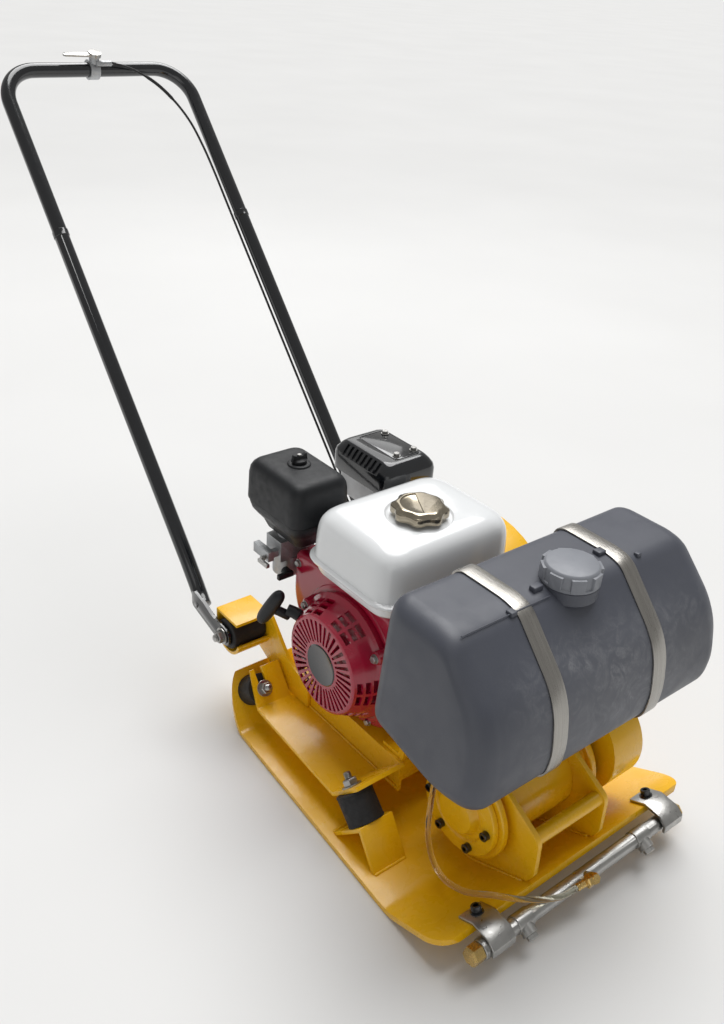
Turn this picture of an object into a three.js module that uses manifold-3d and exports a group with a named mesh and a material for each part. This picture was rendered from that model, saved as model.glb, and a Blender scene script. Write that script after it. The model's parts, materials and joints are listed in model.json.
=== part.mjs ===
// Walk-behind plate compactor: petrol engine on a sprung deck, belt-driven exciter on the base plate,
// spray tank at the front and a folding tubular handle at the rear.
// Millimetres. +Z up, -Y the way the machine travels, origin on the ground under the middle of the sole.
import * as THREE from "three";
import { mergeVertices } from "three/addons/utils/BufferGeometryUtils.js";
import Module from "manifold-3d";

const wasm = await Module();
wasm.setup();

// ---- driving dimensions ----
const GAP = 0.3;
const SHEET = 6;

const PLATE = {
  thickness: 9, frontHalf: 246, rearHalf: 209, frontCrease: -190, rearCrease: 215,
  frontLip: 119, frontAngle: 25, rearLip: 96, rearAngle: 52, frontCorner: 45, rearCorner: 60,
};
const EXCITER = { y: -176, z: 108, left: -104, right: 82, radius: 62, bore: 50, flange: 74, cover: 66 };
const RIB = { left: -83, right: 48, half: 4, barY: -279, barZ: 124, barRadius: 10.5 };
const PIPE = {
  y: -317, z: 42, radius: 11, left: -200, right: 181, plug: 14,
  brackets: { left: -174, right: 170 }, bracketHalf: 20,
};
const ELBOW = { x: -8, out: 20, lean: 53.13, way: [-1, 0.1, -0.02] };
const DECK = { top: 108, half: 121, front: -64, rear: 200, flangeTop: 60, flangeFront: 207, flangeRear: 193 };
const FRONT_MOUNT = { x: 190, y: -80, z: 50, radius: 27, length: 46, tilt: 45 };
const REAR_MOUNT = { x: 170, y: 243.6, z: 51.3, radius: 25, length: 40, tilt: 52 };
const CRANK = { y: 71, z: 214, radius: 12.5 };
const PULLEY = { mid: 140, width: 26, driveRadius: 54, drivenRadius: 36 };
const RECOIL = { face: -167, faceRadius: 76, seatRadius: 96 };
const GUARD = {
  left: 100, right: 162, wall: 3, bigRadius: 148, frontY: -182, frontZ: 130, frontRadius: 80,
  floor: 116, notch: 112,
  exciterHole: 56, crankHole: 60,
};
const FUEL = { left: -150, right: 99, front: -38, rear: 155, bottom: 331, rim: 357, top: 434 };
const FUEL_CAP = { x: -30, y: 44, z: 435, radius: 41 };
const AIR = { left: -157, right: -57, front: 157, rear: 291, bottom: 338, seam: 386, top: 451 };
const AIR_KNOB = { x: -104, y: 226 };
const MUFFLER = { left: 12, right: 116, front: 163, rear: 300, bottom: 346, top: 436 };
const TANK = { half: 219, flare: 12, strapX: 97, strapWidth: 25, capX: -7, capY: -203, capRadius: 37.5 };
const CRADLE = { left: -116, right: 92, width: 30 };
const PIVOT = { y: 290, z: 142, bush: 25.5, bolt: 6 };
const HANDLE = {
  x: 181, radius: 12.7, topY: 1046, topZ: 880, footY: 373, footZ: 153, bend: 65, jointDrop: 310,
};
const LEVER = { x: -5, lean: 20 };

const COLOURS = {
  yellow: { color: 0xf5b800, roughness: 0.35, metalness: 0.1 },
  red: { color: 0x9c1230, roughness: 0.3, metalness: 0.1 },
  white: { color: 0xf1f1ee, roughness: 0.25, metalness: 0 },
  blackPlastic: { color: 0x17181b, roughness: 0.55, metalness: 0 },
  blackPaint: { color: 0x0d0e11, roughness: 0.25, metalness: 0.2 },
  rubber: { color: 0x1a1a1a, roughness: 0.85, metalness: 0 },
  greyTank: { color: 0x4a4d57, roughness: 0.5, metalness: 0 },
  greyCap: { color: 0x7d818c, roughness: 0.5, metalness: 0 },
  zinc: { color: 0xa9a8a4, roughness: 0.4, metalness: 0.9 },
  stainless: { color: 0xb9b5ad, roughness: 0.35, metalness: 1 },
  castAlloy: { color: 0x8d9094, roughness: 0.55, metalness: 0.8 },
  nickel: { color: 0xb7ab92, roughness: 0.25, metalness: 1 },
  brass: { color: 0xb08a3a, roughness: 0.35, metalness: 1 },
  steel: { color: 0x6d6f73, roughness: 0.4, metalness: 0.9 },
  hose: { color: 0xe6e0c8, roughness: 0.2, metalness: 0 },
};

// ---- geometry helpers ----
function rad(degrees) {
  return degrees * Math.PI / 180;
}

function toSolid(geometry) {
  const bare = geometry.index ? geometry.toNonIndexed() : geometry.clone();
  bare.deleteAttribute("normal");
  bare.deleteAttribute("uv");
  const merged = mergeVertices(bare, 1e-4);
  return new wasm.Manifold(new wasm.Mesh({
    numProp: 3,
    vertProperties: new Float32Array(merged.attributes.position.array),
    triVerts: new Uint32Array(merged.index.array),
  }));
}

function toGeometry(solid) {
  const mesh = solid.getMesh();
  const geometry = new THREE.BufferGeometry();
  geometry.setAttribute("position", new THREE.BufferAttribute(new Float32Array(mesh.vertProperties), 3));
  geometry.setIndex(new THREE.BufferAttribute(new Uint32Array(mesh.triVerts), 1));
  return geometry;
}

function join(...geometries) {
  return toGeometry(geometries.map(toSolid).reduce((whole, piece) => whole.add(piece)));
}

function cut(body, ...tools) {
  return toGeometry(tools.map(toSolid).reduce((whole, tool) => whole.subtract(tool), toSolid(body)));
}

function common(body, other) {
  return toGeometry(toSolid(body).intersect(toSolid(other)));
}

function box(x0, x1, y0, y1, z0, z1) {
  const geometry = new THREE.BoxGeometry(x1 - x0, y1 - y0, z1 - z0);
  return geometry.translate((x0 + x1) / 2, (y0 + y1) / 2, (z0 + z1) / 2);
}

// A closed outline through corner points, each corner eased by its own radius.
function outline(points, radius = 0) {
  const shape = new THREE.Shape();
  const corners = points.map(([a, b, r]) => ({ at: new THREE.Vector2(a, b), r: r ?? radius }));
  corners.forEach((corner, i) => {
    const before = corners[(i + corners.length - 1) % corners.length].at;
    const after = corners[(i + 1) % corners.length].at;
    const back = before.clone().sub(corner.at);
    const on = after.clone().sub(corner.at);
    const ease = Math.min(corner.r, back.length() / 2.02, on.length() / 2.02);
    const enter = corner.at.clone().add(back.setLength(ease || 1e-9));
    const leave = corner.at.clone().add(on.setLength(ease || 1e-9));
    const start = ease ? enter : corner.at;
    if (i === 0) {
      shape.moveTo(start.x, start.y);
    } else {
      shape.lineTo(start.x, start.y);
    }
    if (ease) {
      shape.quadraticCurveTo(corner.at.x, corner.at.y, leave.x, leave.y);
    }
  });
  shape.closePath();
  return shape;
}

function extrude(shape, depth, curveSegments = 4) {
  return new THREE.ExtrudeGeometry(shape, { depth, bevelEnabled: false, steps: 1, curveSegments });
}

// Outlines drawn in (y, z), (x, y) or (x, z), given thickness along the remaining axis.
function prismX(shape, x0, x1, curveSegments) {
  const turn = new THREE.Matrix4().set(0, 0, 1, x0, 1, 0, 0, 0, 0, 1, 0, 0, 0, 0, 0, 1);
  return extrude(shape, x1 - x0, curveSegments).applyMatrix4(turn);
}

function prismZ(shape, z0, z1, curveSegments) {
  return extrude(shape, z1 - z0, curveSegments).translate(0, 0, z0);
}

function prismY(shape, y0, y1, curveSegments) {
  return extrude(shape, y1 - y0, curveSegments).rotateX(Math.PI / 2).translate(0, y1, 0);
}

// A lathe profile of [radius, height] pairs, turned about an axis through a point.
function turned(profile, axis, at, segments = 18) {
  const points = profile.map(([r, h]) => new THREE.Vector2(r, h));
  if (THREE.ShapeUtils.area(points) < 0) {
    points.reverse();
  }
  const geometry = new THREE.LatheGeometry(points, segments);
  const up = new THREE.Vector3(0, 1, 0);
  const turn = new THREE.Quaternion().setFromUnitVectors(up, axis.clone().normalize());
  return geometry.applyQuaternion(turn).translate(...at);
}

const ALONG_X = new THREE.Vector3(1, 0, 0);
const ALONG_Z = new THREE.Vector3(0, 0, 1);

function rod(from, to, radius, segments = 12) {
  const a = new THREE.Vector3(...from);
  const axis = new THREE.Vector3(...to).sub(a);
  return turned([[0, 0], [radius, 0], [radius, axis.length()], [0, axis.length()]], axis, from, segments);
}

function rodX(x0, x1, y, z, radius, segments = 12) {
  return rod([x0, y, z], [x1, y, z], radius, segments);
}

function tube(points, radius, sides, steps) {
  const path = new THREE.CatmullRomCurve3(points.map((p) => new THREE.Vector3(...p)), false, "centripetal");
  const ring = Array.from({ length: sides }, (_, i) => {
    const angle = 2 * Math.PI * i / sides;
    return new THREE.Vector2(radius * Math.cos(angle), radius * Math.sin(angle));
  });
  return new THREE.ExtrudeGeometry(new THREE.Shape(ring), { steps, bevelEnabled: false, extrudePath: path });
}

// A folded sheet: its inner face follows the path, and it is `thickness` thick to the left of it.
function foldedSheet(path, thickness) {
  const base = path.map(([a, b]) => new THREE.Vector2(a, b));
  const left = (from, to) => {
    const d = to.clone().sub(from).normalize();
    return new THREE.Vector2(-d.y, d.x);
  };
  const outer = base.map((point, i) => {
    const first = i > 0 ? left(base[i - 1], point) : left(point, base[i + 1]);
    const second = i < base.length - 1 ? left(point, base[i + 1]) : first;
    const middle = first.clone().add(second).normalize();
    return point.clone().add(middle.multiplyScalar(thickness / middle.dot(first)));
  });
  return new THREE.Shape([...base, ...outer.reverse()]);
}

const group = new THREE.Group();

function add(name, geometry, colour) {
  const mesh = new THREE.Mesh(geometry, new THREE.MeshStandardMaterial(COLOURS[colour]));
  mesh.name = name;
  group.add(mesh);
}

function forBothSides(build) {
  build("left", -1);
  build("right", 1);
}

function span(side, a, b) {
  return side < 0 ? [-b, -a] : [a, b];
}

// ---- base: sole plate, mount seats, exciter and spray bar ----
function basePlate() {
  const p = PLATE;
  const front = rad(p.frontAngle);
  const rear = rad(p.rearAngle);
  const tipY = p.frontCrease - p.frontLip * Math.cos(front);
  const tailY = p.rearCrease + p.rearLip * Math.cos(rear);
  const bend = 14;
  const path = [
    [tipY, p.frontLip * Math.sin(front)],
    [p.frontCrease - bend * Math.cos(front), bend * Math.sin(front)],
    [p.frontCrease - bend / 3, bend * 0.09],
    [p.frontCrease + bend, 0],
    [p.rearCrease - bend, 0],
    [p.rearCrease + bend * 0.15, bend * 0.22],
    [p.rearCrease + bend * Math.cos(rear), bend * Math.sin(rear)],
    [tailY, p.rearLip * Math.sin(rear)],
  ];
  const sheet = prismX(foldedSheet(path, p.thickness), -260, 260);
  const plan = outline([
    [-p.frontHalf, tipY - 2, p.frontCorner],
    [p.frontHalf, tipY - 2, p.frontCorner],
    [p.rearHalf, tailY + 2, p.rearCorner],
    [-p.rearHalf, tailY + 2, p.rearCorner],
  ]);
  add("base_plate", common(sheet, prismZ(plan, -5, 130, 8)), "yellow");
}

function frontMountSeat(name, side) {
  const foot = PLATE.thickness + GAP;
  const wall = SHEET;
  const seatLevel = FRONT_MOUNT.y + FRONT_MOUNT.z - GAP * Math.SQRT2;
  const crest = 66;
  const outer = [[seatLevel - foot, foot], [seatLevel - crest, crest], [seatLevel - crest - 37, foot]];
  const slope = new THREE.Vector2(-37, foot - crest).normalize();
  const innerLevel = seatLevel - wall * Math.SQRT2;
  const innerFoot = outer[2][0] - wall / slope.y;
  const rise = (innerLevel - innerFoot - foot) / -(slope.x + slope.y);
  const innerCrest = [innerFoot - rise * slope.x, foot - rise * slope.y];
  const section = new THREE.Shape([...outer, [innerFoot, foot], innerCrest, [innerLevel - foot, foot]]
    .map(([y, z]) => new THREE.Vector2(y, z)));
  add(`front_mount_seat_${name}`, prismX(section, ...span(side, 159, 217)), "yellow");
}

function mountAxis(tilt, way) {
  return new THREE.Vector3(0, way * Math.sin(rad(tilt)), Math.cos(rad(tilt)));
}

function rubberMount(name, mount, side, way) {
  const axis = mountAxis(mount.tilt, way);
  const profile = [
    [0, GAP], [mount.radius, GAP], [mount.radius, 5], [mount.radius, mount.length - 5],
    [mount.radius, mount.length - GAP], [0, mount.length - GAP],
  ];
  add(name, turned(profile, axis, [side * mount.x, mount.y, mount.z], 16), "rubber");
}

function exciterHousing() {
  const e = EXCITER;
  const profile = [
    [e.bore, e.left], [e.flange, e.left], [e.flange, e.left + 10], [e.radius, e.left + 12],
    [e.radius, e.right - 12], [e.flange, e.right - 10], [e.flange, e.right], [e.bore, e.right],
    [e.bore, e.left],
  ];
  const barrel = turned(profile, ALONG_X, [0, e.y, e.z], 24);
  const foot = PLATE.thickness + GAP;
  const feet = [e.left + 30, e.right - 50].map((x) => box(x, x + 8, e.y + 4, e.y + 60, foot, e.z - 30));
  const hollow = rodX(e.left - 1, e.right + 1, e.y, e.z, e.bore, 24);
  add("exciter_housing", cut(join(barrel, ...feet), hollow), "yellow");
}

function exciterCovers() {
  const e = EXCITER;
  const left = e.left - GAP;
  const right = e.right + GAP;
  const leftProfile = [
    [0, left], [e.cover, left], [e.cover, left - 9], [34, left - 10], [30, left - 17], [0, left - 17],
  ];
  add("exciter_cover_left", turned(leftProfile, ALONG_X, [0, e.y, e.z], 24), "yellow");
  const rightProfile = [
    [17, right], [e.cover, right], [e.cover, right + 9], [32, right + 10], [28, right + 13],
    [17, right + 13], [17, right],
  ];
  add("exciter_cover_right", turned(rightProfile, ALONG_X, [0, e.y, e.z], 20), "yellow");
}

function exciterBearings() {
  const e = EXCITER;
  const outer = e.bore - 0.8;
  const ring = (x) => [[18, x], [outer, x], [outer, x + 22], [18, x + 22], [18, x]];
  add("exciter_bearing_left", turned(ring(e.left + 2), ALONG_X, [0, e.y, e.z], 16), "steel");
  add("exciter_bearing_right", turned(ring(e.right - 24), ALONG_X, [0, e.y, e.z], 16), "steel");
}

function eccentricShaft() {
  const e = EXCITER;
  const shaft = rodX(e.left + 4, PULLEY.mid + 14, e.y, e.z, 17.5, 20);
  const sleeve = cut(rodX(e.right - 1, PULLEY.mid + 30, e.y, e.z, 40), rodX(e.right - 2, 170, e.y, e.z, 14));
  const narrow = cut(shaft, sleeve);
  const lump = new THREE.Shape();
  lump.absarc(e.y, e.z, 44, Math.PI, 2 * Math.PI, false);
  lump.closePath();
  add("eccentric_shaft", join(narrow, prismX(lump, e.left + 28, e.right - 28, 16)), "steel");
}

function braceRibs() {
  const e = EXCITER;
  const lip = Math.tan(rad(PLATE.frontAngle));
  const lipTop = (y) => PLATE.thickness + GAP + 0.6 + (PLATE.frontCrease - y) * lip;
  const profile = outline([
    [-170, e.z + 76, 10], [-226, 170, 6], [-293, 133, 10], [-295, 74, 4], [-286, lipTop(-286) + 2, 0],
    [-196, lipTop(-196) + 2, 0], [-190, 12, 0], [-150, 10.5, 0],
  ]);
  const ribs = [RIB.left, RIB.right].map((x) => prismX(profile, x - RIB.half, x + RIB.half));
  const bar = rodX(RIB.left, RIB.right, RIB.barY, RIB.barZ, RIB.barRadius, 20);
  const clearance = rodX(e.left - 30, e.right + 30, e.y, e.z, e.radius + GAP, 32);
  const flanges = [rodX(e.left - 20, e.left + 12.5, e.y, e.z, e.flange + GAP, 32)];
  add("brace_ribs", cut(join(...ribs, bar), clearance, ...flanges), "yellow");
}

function lipPoint(along, lift) {
  const a = rad(PLATE.frontAngle);
  return [
    PLATE.frontCrease - along * Math.cos(a) + lift * Math.sin(a),
    along * Math.sin(a) + lift * Math.cos(a),
  ];
}

function sprayBar() {
  const p = PIPE;
  const pipe = rodX(p.left, p.right, p.y, p.z, p.radius, 20);
  const tees = [-126, 112].map((x) => rod([x, p.y, p.z], [x, p.y - 18, p.z - 8], 11, 16));
  const boss = rod([ELBOW.x, p.y, p.z], barbPoint(12.5), 8, 12);
  const plug = [[0, -2], [p.plug, -2], [p.plug, 6], [12.5, 6.2], [12.5, 20], [0, 20]];
  const plugs = [[-1, p.left], [1, p.right]].map(([way, x]) => {
    return turned(plug, new THREE.Vector3(way, 0, 0), [x, p.y, p.z], 18);
  });
  add("spray_pipe", join(pipe, ...tees, boss, ...plugs), "zinc");
}

function sprayBrackets() {
  const p = PIPE;
  const lift = PLATE.thickness + GAP;
  const r = p.radius + GAP;
  const path = [
    lipPoint(94, lift), lipPoint(119.5, lift), [p.y - r * 0.3, p.z + r * 1.3],
    [p.y - r * 1.15, p.z + r * 0.6], [p.y - r * 1.2, p.z - r * 0.3],
  ];
  const sheet = foldedSheet([...path].reverse(), 4);
  const pipeRoom = rodX(p.left, p.right, p.y, p.z, r, 20);
  const plugRoom = rodX(p.right - 2.5, p.right + 20, p.y, p.z, p.plug + GAP, 20);
  forBothSides((name) => {
    const middle = p.brackets[name];
    const strip = prismX(sheet, middle - p.bracketHalf, middle + p.bracketHalf);
    add(`spray_bracket_${name}`, cut(strip, pipeRoom, plugRoom), "zinc");
  });
}

// A point on the hose fitting's axis, the given distance out from the middle of the pipe.
function barbPoint(out) {
  const a = rad(ELBOW.lean);
  return [ELBOW.x, PIPE.y - out * Math.sin(a), PIPE.z + out * Math.cos(a)];
}

function hoseBarb() {
  const base = rod(barbPoint(12.8), barbPoint(27), 7.5, 6);
  const profile = [[0, 0], [7, 0], [7, 16], [4.4, 17], [4.4, 30], [0, 30]];
  const nozzle = turned(profile, new THREE.Vector3(...ELBOW.way), barbPoint(ELBOW.out), 12);
  const clearance = rodX(PIPE.left, PIPE.right, PIPE.y, PIPE.z, PIPE.radius + GAP, 20);
  const bossClearance = rod([ELBOW.x, PIPE.y, PIPE.z], barbPoint(12.6), 8.2, 12);
  add("hose_barb", cut(join(base, nozzle), clearance, bossClearance), "brass");
}

// ---- deck: channel frame, tank cradle, handle brackets ----
function deckSideFlange(side) {
  const lower = DECK.flangeTop - SHEET;
  const front = FRONT_MOUNT.y + FRONT_MOUNT.z + FRONT_MOUNT.length * Math.SQRT2 + GAP;
  const a = rad(REAR_MOUNT.tilt);
  const topY = REAR_MOUNT.y - (REAR_MOUNT.length + GAP) * Math.sin(a);
  const topZ = REAR_MOUNT.z + (REAR_MOUNT.length + GAP) * Math.cos(a);
  const foldY = topY - (topZ - lower) / Math.tan(a);
  const path = [
    [front - 106, 106], [front - lower, lower], [foldY, lower],
    [topY + 34 * Math.cos(a), topZ + 34 * Math.sin(a)],
  ];
  const strip = prismX(foldedSheet(path, SHEET), ...span(side, DECK.half - 3, DECK.flangeFront));
  const tabInner = side < 0 ? DECK.half - 4 : 164;
  const plan = outline([
    [side * (DECK.half - 4), -20, 0], [side * tabInner, -20, 0], [side * tabInner, front - 120, 0],
    [side * DECK.flangeFront, front - 120, 30], [side * DECK.flangeRear, 190, 14], [side * 186, 225, 16],
    [side * 170, 262, 0], [side * 131, 262, 0], [side * 131, 184, 0], [side * (DECK.half - 4), 184, 0],
  ]);
  const slotX = span(side, REAR_MOUNT.x - 7, REAR_MOUNT.x + 7);
  const slot = box(...slotX, topY - 2, topY + 60, topZ - 2, topZ + 60);
  return cut(common(strip, prismZ(plan, 20, 160, 5)), slot);
}

function deckFrame() {
  const d = DECK;
  const lower = d.flangeTop - SHEET;
  const top = box(-d.half, d.half, d.front, d.rear, d.top - SHEET, d.top);
  const walls = [-1, 1].map((side) => {
    return box(...span(side, d.half - SHEET, d.half), d.front, d.rear, lower, d.top);
  });
  const front = box(-d.half, d.half, d.front, d.front + SHEET, 72, d.top);
  const rear = box(-d.half, d.half, d.rear - SHEET, d.rear, lower, d.top);
  add("deck_frame", join(top, ...walls, front, rear, deckSideFlange(-1), deckSideFlange(1)), "yellow");
}

function tankCradle() {
  const base = DECK.top + GAP;
  const section = outline([
    [-62, base, 0], [-19, base, 0], [-19, base + SHEET, 0], [-52, base + SHEET, 4], [-66, 190, 6],
    [-97, 262, 6], [-112, 266, 3], [-124, 266.9, 0], [-176, 256.6, 0], [-176, 250.6, 0],
    [-124, 260.9, 0], [-102, 258, 4], [-72, 186, 6],
  ]);
  const arms = [CRADLE.left, CRADLE.right - CRADLE.width].map((x) => prismX(section, x, x + CRADLE.width));
  const bridge = box(CRADLE.left + CRADLE.width / 2, CRADLE.right - CRADLE.width / 2, -74, -64, 170, 200);
  add("tank_cradle", join(...arms, bridge), "yellow");
}

function handleBracket(name, side) {
  const arm = outline([
    [150, 61, 0], [212, 61, 8], [304, 104, 12], [324, 118, 0], [324, 173, 0], [256, 173, 6],
    [200, 112, 20], [150, 104, 0],
  ]);
  const p = PIVOT;
  const hook = new THREE.Shape();
  hook.absarc(p.y, p.z - 2, 34, rad(195), rad(360), false);
  hook.lineTo(p.y + 34, 173);
  hook.lineTo(p.y - 26, 173);
  hook.lineTo(p.y - 26, 168);
  hook.lineTo(p.y + 29, 168);
  hook.lineTo(p.y + 29, p.z - 2);
  hook.absarc(p.y, p.z - 2, 29, rad(360), rad(195), true);
  hook.closePath();
  const inner = DECK.half + 0.5;
  const plate = prismX(arm, ...span(side, inner, inner + SHEET));
  const wrap = prismX(hook, ...span(side, inner, 186), 8);
  const boltHole = rodX(side * 120, side * 200, p.y, p.z, p.bolt + 0.5, 16);
  add(`handle_bracket_${name}`, cut(join(plate, wrap), boltHole), "yellow");
}

function handleBush(name, side) {
  const p = PIVOT;
  const inner = p.bolt + 0.4;
  const profile = [[inner, 129], [p.bush, 129], [p.bush, 189], [inner, 189], [inner, 129]];
  const way = new THREE.Vector3(side, 0, 0);
  add(`handle_bush_${name}`, turned(profile, way, [0, p.y, p.z], 24), "rubber");
  const bolt = [
    [0, 116], [10, 116], [10, 121], [p.bolt, 121.1], [p.bolt, 199], [15, 199.1], [15, 201], [10, 201.2],
    [10, 209], [0, 209],
  ];
  add(`handle_bolt_${name}`, turned(bolt, way, [0, p.y, p.z], 16), "zinc");
}

// ---- engine ----
function crankcase() {
  const base = DECK.top + GAP;
  const profile = outline([
    [-14, base, 0], [162, base, 0], [162, base + 12, 0], [150, base + 16, 4], [163, 196, 4],
    [120, 291, 6], [62, 302, 10], [-6, 284, 14], [-18, 210, 14], [-4, base + 16, 4], [-14, base + 12, 0],
  ]);
  const body = prismX(profile, -70, 72);
  const nose = turned([[0, 71], [46, 71], [40, 94], [0, 94]], ALONG_X, [0, CRANK.y, CRANK.z], 24);
  const bore = rodX(-80, 100, CRANK.y, CRANK.z, CRANK.radius + 0.5, 20);
  add("crankcase", cut(join(body, nose), bore), "castAlloy");
}

function cylinderHead() {
  const tilt = rad(25);
  const fins = Array.from({ length: 7 }, (_, i) => box(-64, 58, 90 + i * 11, 95 + i * 11, -50, 50));
  const core = box(-50, 44, 86, 166, -40, 40);
  const cover = box(-44, 38, 160, 178, -34, 34);
  const whole = join(core, ...fins, cover);
  add("cylinder_head", whole.rotateX(tilt).translate(0, CRANK.y, CRANK.z), "castAlloy");
}

function fanShroud() {
  const corners = (inset) => [
    [-36 + inset, 150 + inset, 40], [4 + inset, 113 + inset, 30], [138 - inset, 113 + inset, 30],
    [178 - inset, 165 + inset, 30], [214 - inset, 232 + inset, 20], [214 - inset, 318 - inset, 14],
    [150, 324 - inset, 10], [-22 + inset, 324 - inset, 16], [-36 + inset, 276, 30],
  ];
  const skin = prismX(outline(corners(0)), -117, -73);
  const hollow = prismX(outline(corners(3)), -114, -72);
  const mouth = rodX(-120, -110, CRANK.y, CRANK.z, 84, 32);
  add("fan_shroud", cut(skin, hollow, mouth), "red");
}

function recoilCover() {
  const r = RECOIL;
  const profile = [
    [14, r.face + 1], [r.faceRadius - 6, r.face], [r.faceRadius, r.face + 4], [83, -150], [88, -136],
    [r.seatRadius, -126], [r.seatRadius, -117.3], [r.seatRadius - 3, -117.3], [r.seatRadius - 3, -125],
    [85, -134.5], [80, -149], [r.faceRadius - 4, r.face + 6], [r.faceRadius - 7, r.face + 3], [14, r.face + 4],
    [14, r.face + 1],
  ];
  const shell = turned(profile, ALONG_X, [0, CRANK.y, CRANK.z], 22);
  const badge = rodX(r.face + 0.8, r.face + 6, CRANK.y, CRANK.z, 16, 24);
  add("recoil_cover", join(shell, badge), "red");
}

function crankAssembly() {
  const shaft = rodX(-113, PULLEY.mid + 14, CRANK.y, CRANK.z, CRANK.radius, 20);
  add("crankshaft", shaft, "steel");
  const c = [0, CRANK.y, CRANK.z];
  const hub = turned([[13, -111], [62, -111], [70, -100], [70, -84], [13, -84], [13, -111]], ALONG_X, c, 18);
  const blades = Array.from({ length: 10 }, (_, i) => {
    const blade = box(-111, -88, 55, 80, -2, 2);
    return blade.rotateX(2 * Math.PI * i / 10).translate(0, CRANK.y, CRANK.z);
  });
  add("flywheel_fan", join(hub, ...blades), "castAlloy");
}

function grooved(outer, bore) {
  const half = PULLEY.width / 2;
  const root = outer - 14;
  const m = PULLEY.mid;
  return [
    [bore, m - half], [outer, m - half], [outer, m - 9], [root, m - 4.5], [root, m + 4.5], [outer, m + 9],
    [outer, m + half], [bore, m + half], [bore, m - half],
  ];
}

function driveline() {
  const drive = grooved(PULLEY.driveRadius, CRANK.radius + GAP);
  add("clutch_drum", turned(drive, ALONG_X, [0, CRANK.y, CRANK.z], 20), "steel");
  const driven = grooved(PULLEY.drivenRadius, 14.3);
  add("exciter_pulley", turned(driven, ALONG_X, [0, EXCITER.y, EXCITER.z], 18), "steel");
}

// The loop around two circles in the (y, z) plane; `lift` grows both radii.
function beltLoop(bigRadius, smallRadius, frontY = EXCITER.y, frontZ = EXCITER.z) {
  const dy = frontY - CRANK.y;
  const dz = frontZ - CRANK.z;
  const heading = Math.atan2(dz, dy);
  const spread = Math.acos((bigRadius - smallRadius) / Math.hypot(dy, dz));
  const loop = new THREE.Shape();
  loop.absarc(CRANK.y, CRANK.z, bigRadius, heading + spread, heading - spread + 2 * Math.PI, false);
  loop.absarc(frontY, frontZ, smallRadius, heading - spread, heading + spread, false);
  loop.closePath();
  return loop;
}

function driveBelt() {
  const inner = PULLEY.driveRadius - 11;
  const innerSmall = PULLEY.drivenRadius - 11;
  const band = prismX(beltLoop(inner + 9, innerSmall + 9), PULLEY.mid - 4, PULLEY.mid + 4, 9);
  const hollow = prismX(beltLoop(inner, innerSmall), PULLEY.mid - 10, PULLEY.mid + 10, 9);
  add("drive_belt", cut(band, hollow), "rubber");
}

function beltGuard() {
  const g = GUARD;
  const shell = (inset, x0, x1) => {
    const loop = beltLoop(g.bigRadius - inset, g.frontRadius - inset, g.frontY, g.frontZ);
    const corners = [[-118, -50], [-118, 62], [-60, 92], [10, g.floor], [300, g.floor], [300, -50]];
    const below = new THREE.Shape(corners
      .map(([y, z]) => new THREE.Vector2(y - inset / 2, z + inset)));
    const notch = box(x0 - 5, DECK.half + 2.5 + inset, -118 - inset, 300, -50, g.notch + inset);
    return cut(prismX(loop, x0, x1, 11), prismX(below, x0 - 5, x1 + 5), notch);
  };
  const skin = shell(0, g.left, g.right);
  const hollow = shell(g.wall, g.left + g.wall, g.right - g.wall);
  const holes = [
    rodX(g.left - 1, g.left + g.wall + 1, EXCITER.y, EXCITER.z, g.exciterHole, 40),
    rodX(g.left - 1, g.left + g.wall + 1, CRANK.y, CRANK.z, g.crankHole, 40),
  ];
  add("belt_guard", cut(skin, hollow, ...holes), "yellow");
}

// ---- fuel tank, intake, exhaust ----
function plan(x0, x1, y0, y1, radius) {
  return outline([[x0, y0], [x1, y0], [x1, y1], [x0, y1]], radius);
}

function fuelTank() {
  const f = FUEL;
  const lower = prismZ(plan(f.left + 10, f.right - 10, f.front + 10, f.rear - 10, 34), f.bottom, f.rim, 4);
  const rim = prismZ(plan(f.left, f.right, f.front, f.rear, 42), f.rim - 4, f.rim + 2, 4);
  const body = prismZ(plan(f.left + 6, f.right - 6, f.front + 6, f.rear - 6, 40), f.rim, 396, 4);
  const shoulder = prismZ(plan(f.left + 10, f.right - 10, f.front + 10, f.rear - 10, 38), 395, 420, 4);
  const roof = prismZ(plan(f.left + 20, f.right - 20, f.front + 20, f.rear - 20, 32), 419, f.top, 4);
  const neck = rod([FUEL_CAP.x, FUEL_CAP.y, f.top - 30], [FUEL_CAP.x, FUEL_CAP.y, f.top + 1], 21, 20);
  add("fuel_tank", join(lower, rim, body, shoulder, roof, neck), "white");
}

function lobedCap(count, radius, depth, height, steps) {
  const outlinePoints = Array.from({ length: count * steps }, (_, i) => {
    const angle = 2 * Math.PI * i / (count * steps);
    const r = radius - depth * (0.5 - 0.5 * Math.cos(count * angle));
    return new THREE.Vector2(r * Math.cos(angle), r * Math.sin(angle));
  });
  return extrude(new THREE.Shape(outlinePoints), height);
}

function fuelCap() {
  const c = FUEL_CAP;
  const cap = lobedCap(8, c.radius, 5, 16, 5).translate(c.x, c.y, c.z + GAP + 0.2);
  const socket = rod([c.x, c.y, c.z - 5], [c.x, c.y, c.z + 5], 21.5, 20);
  add("fuel_cap", cut(cap, socket), "nickel");
}

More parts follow.
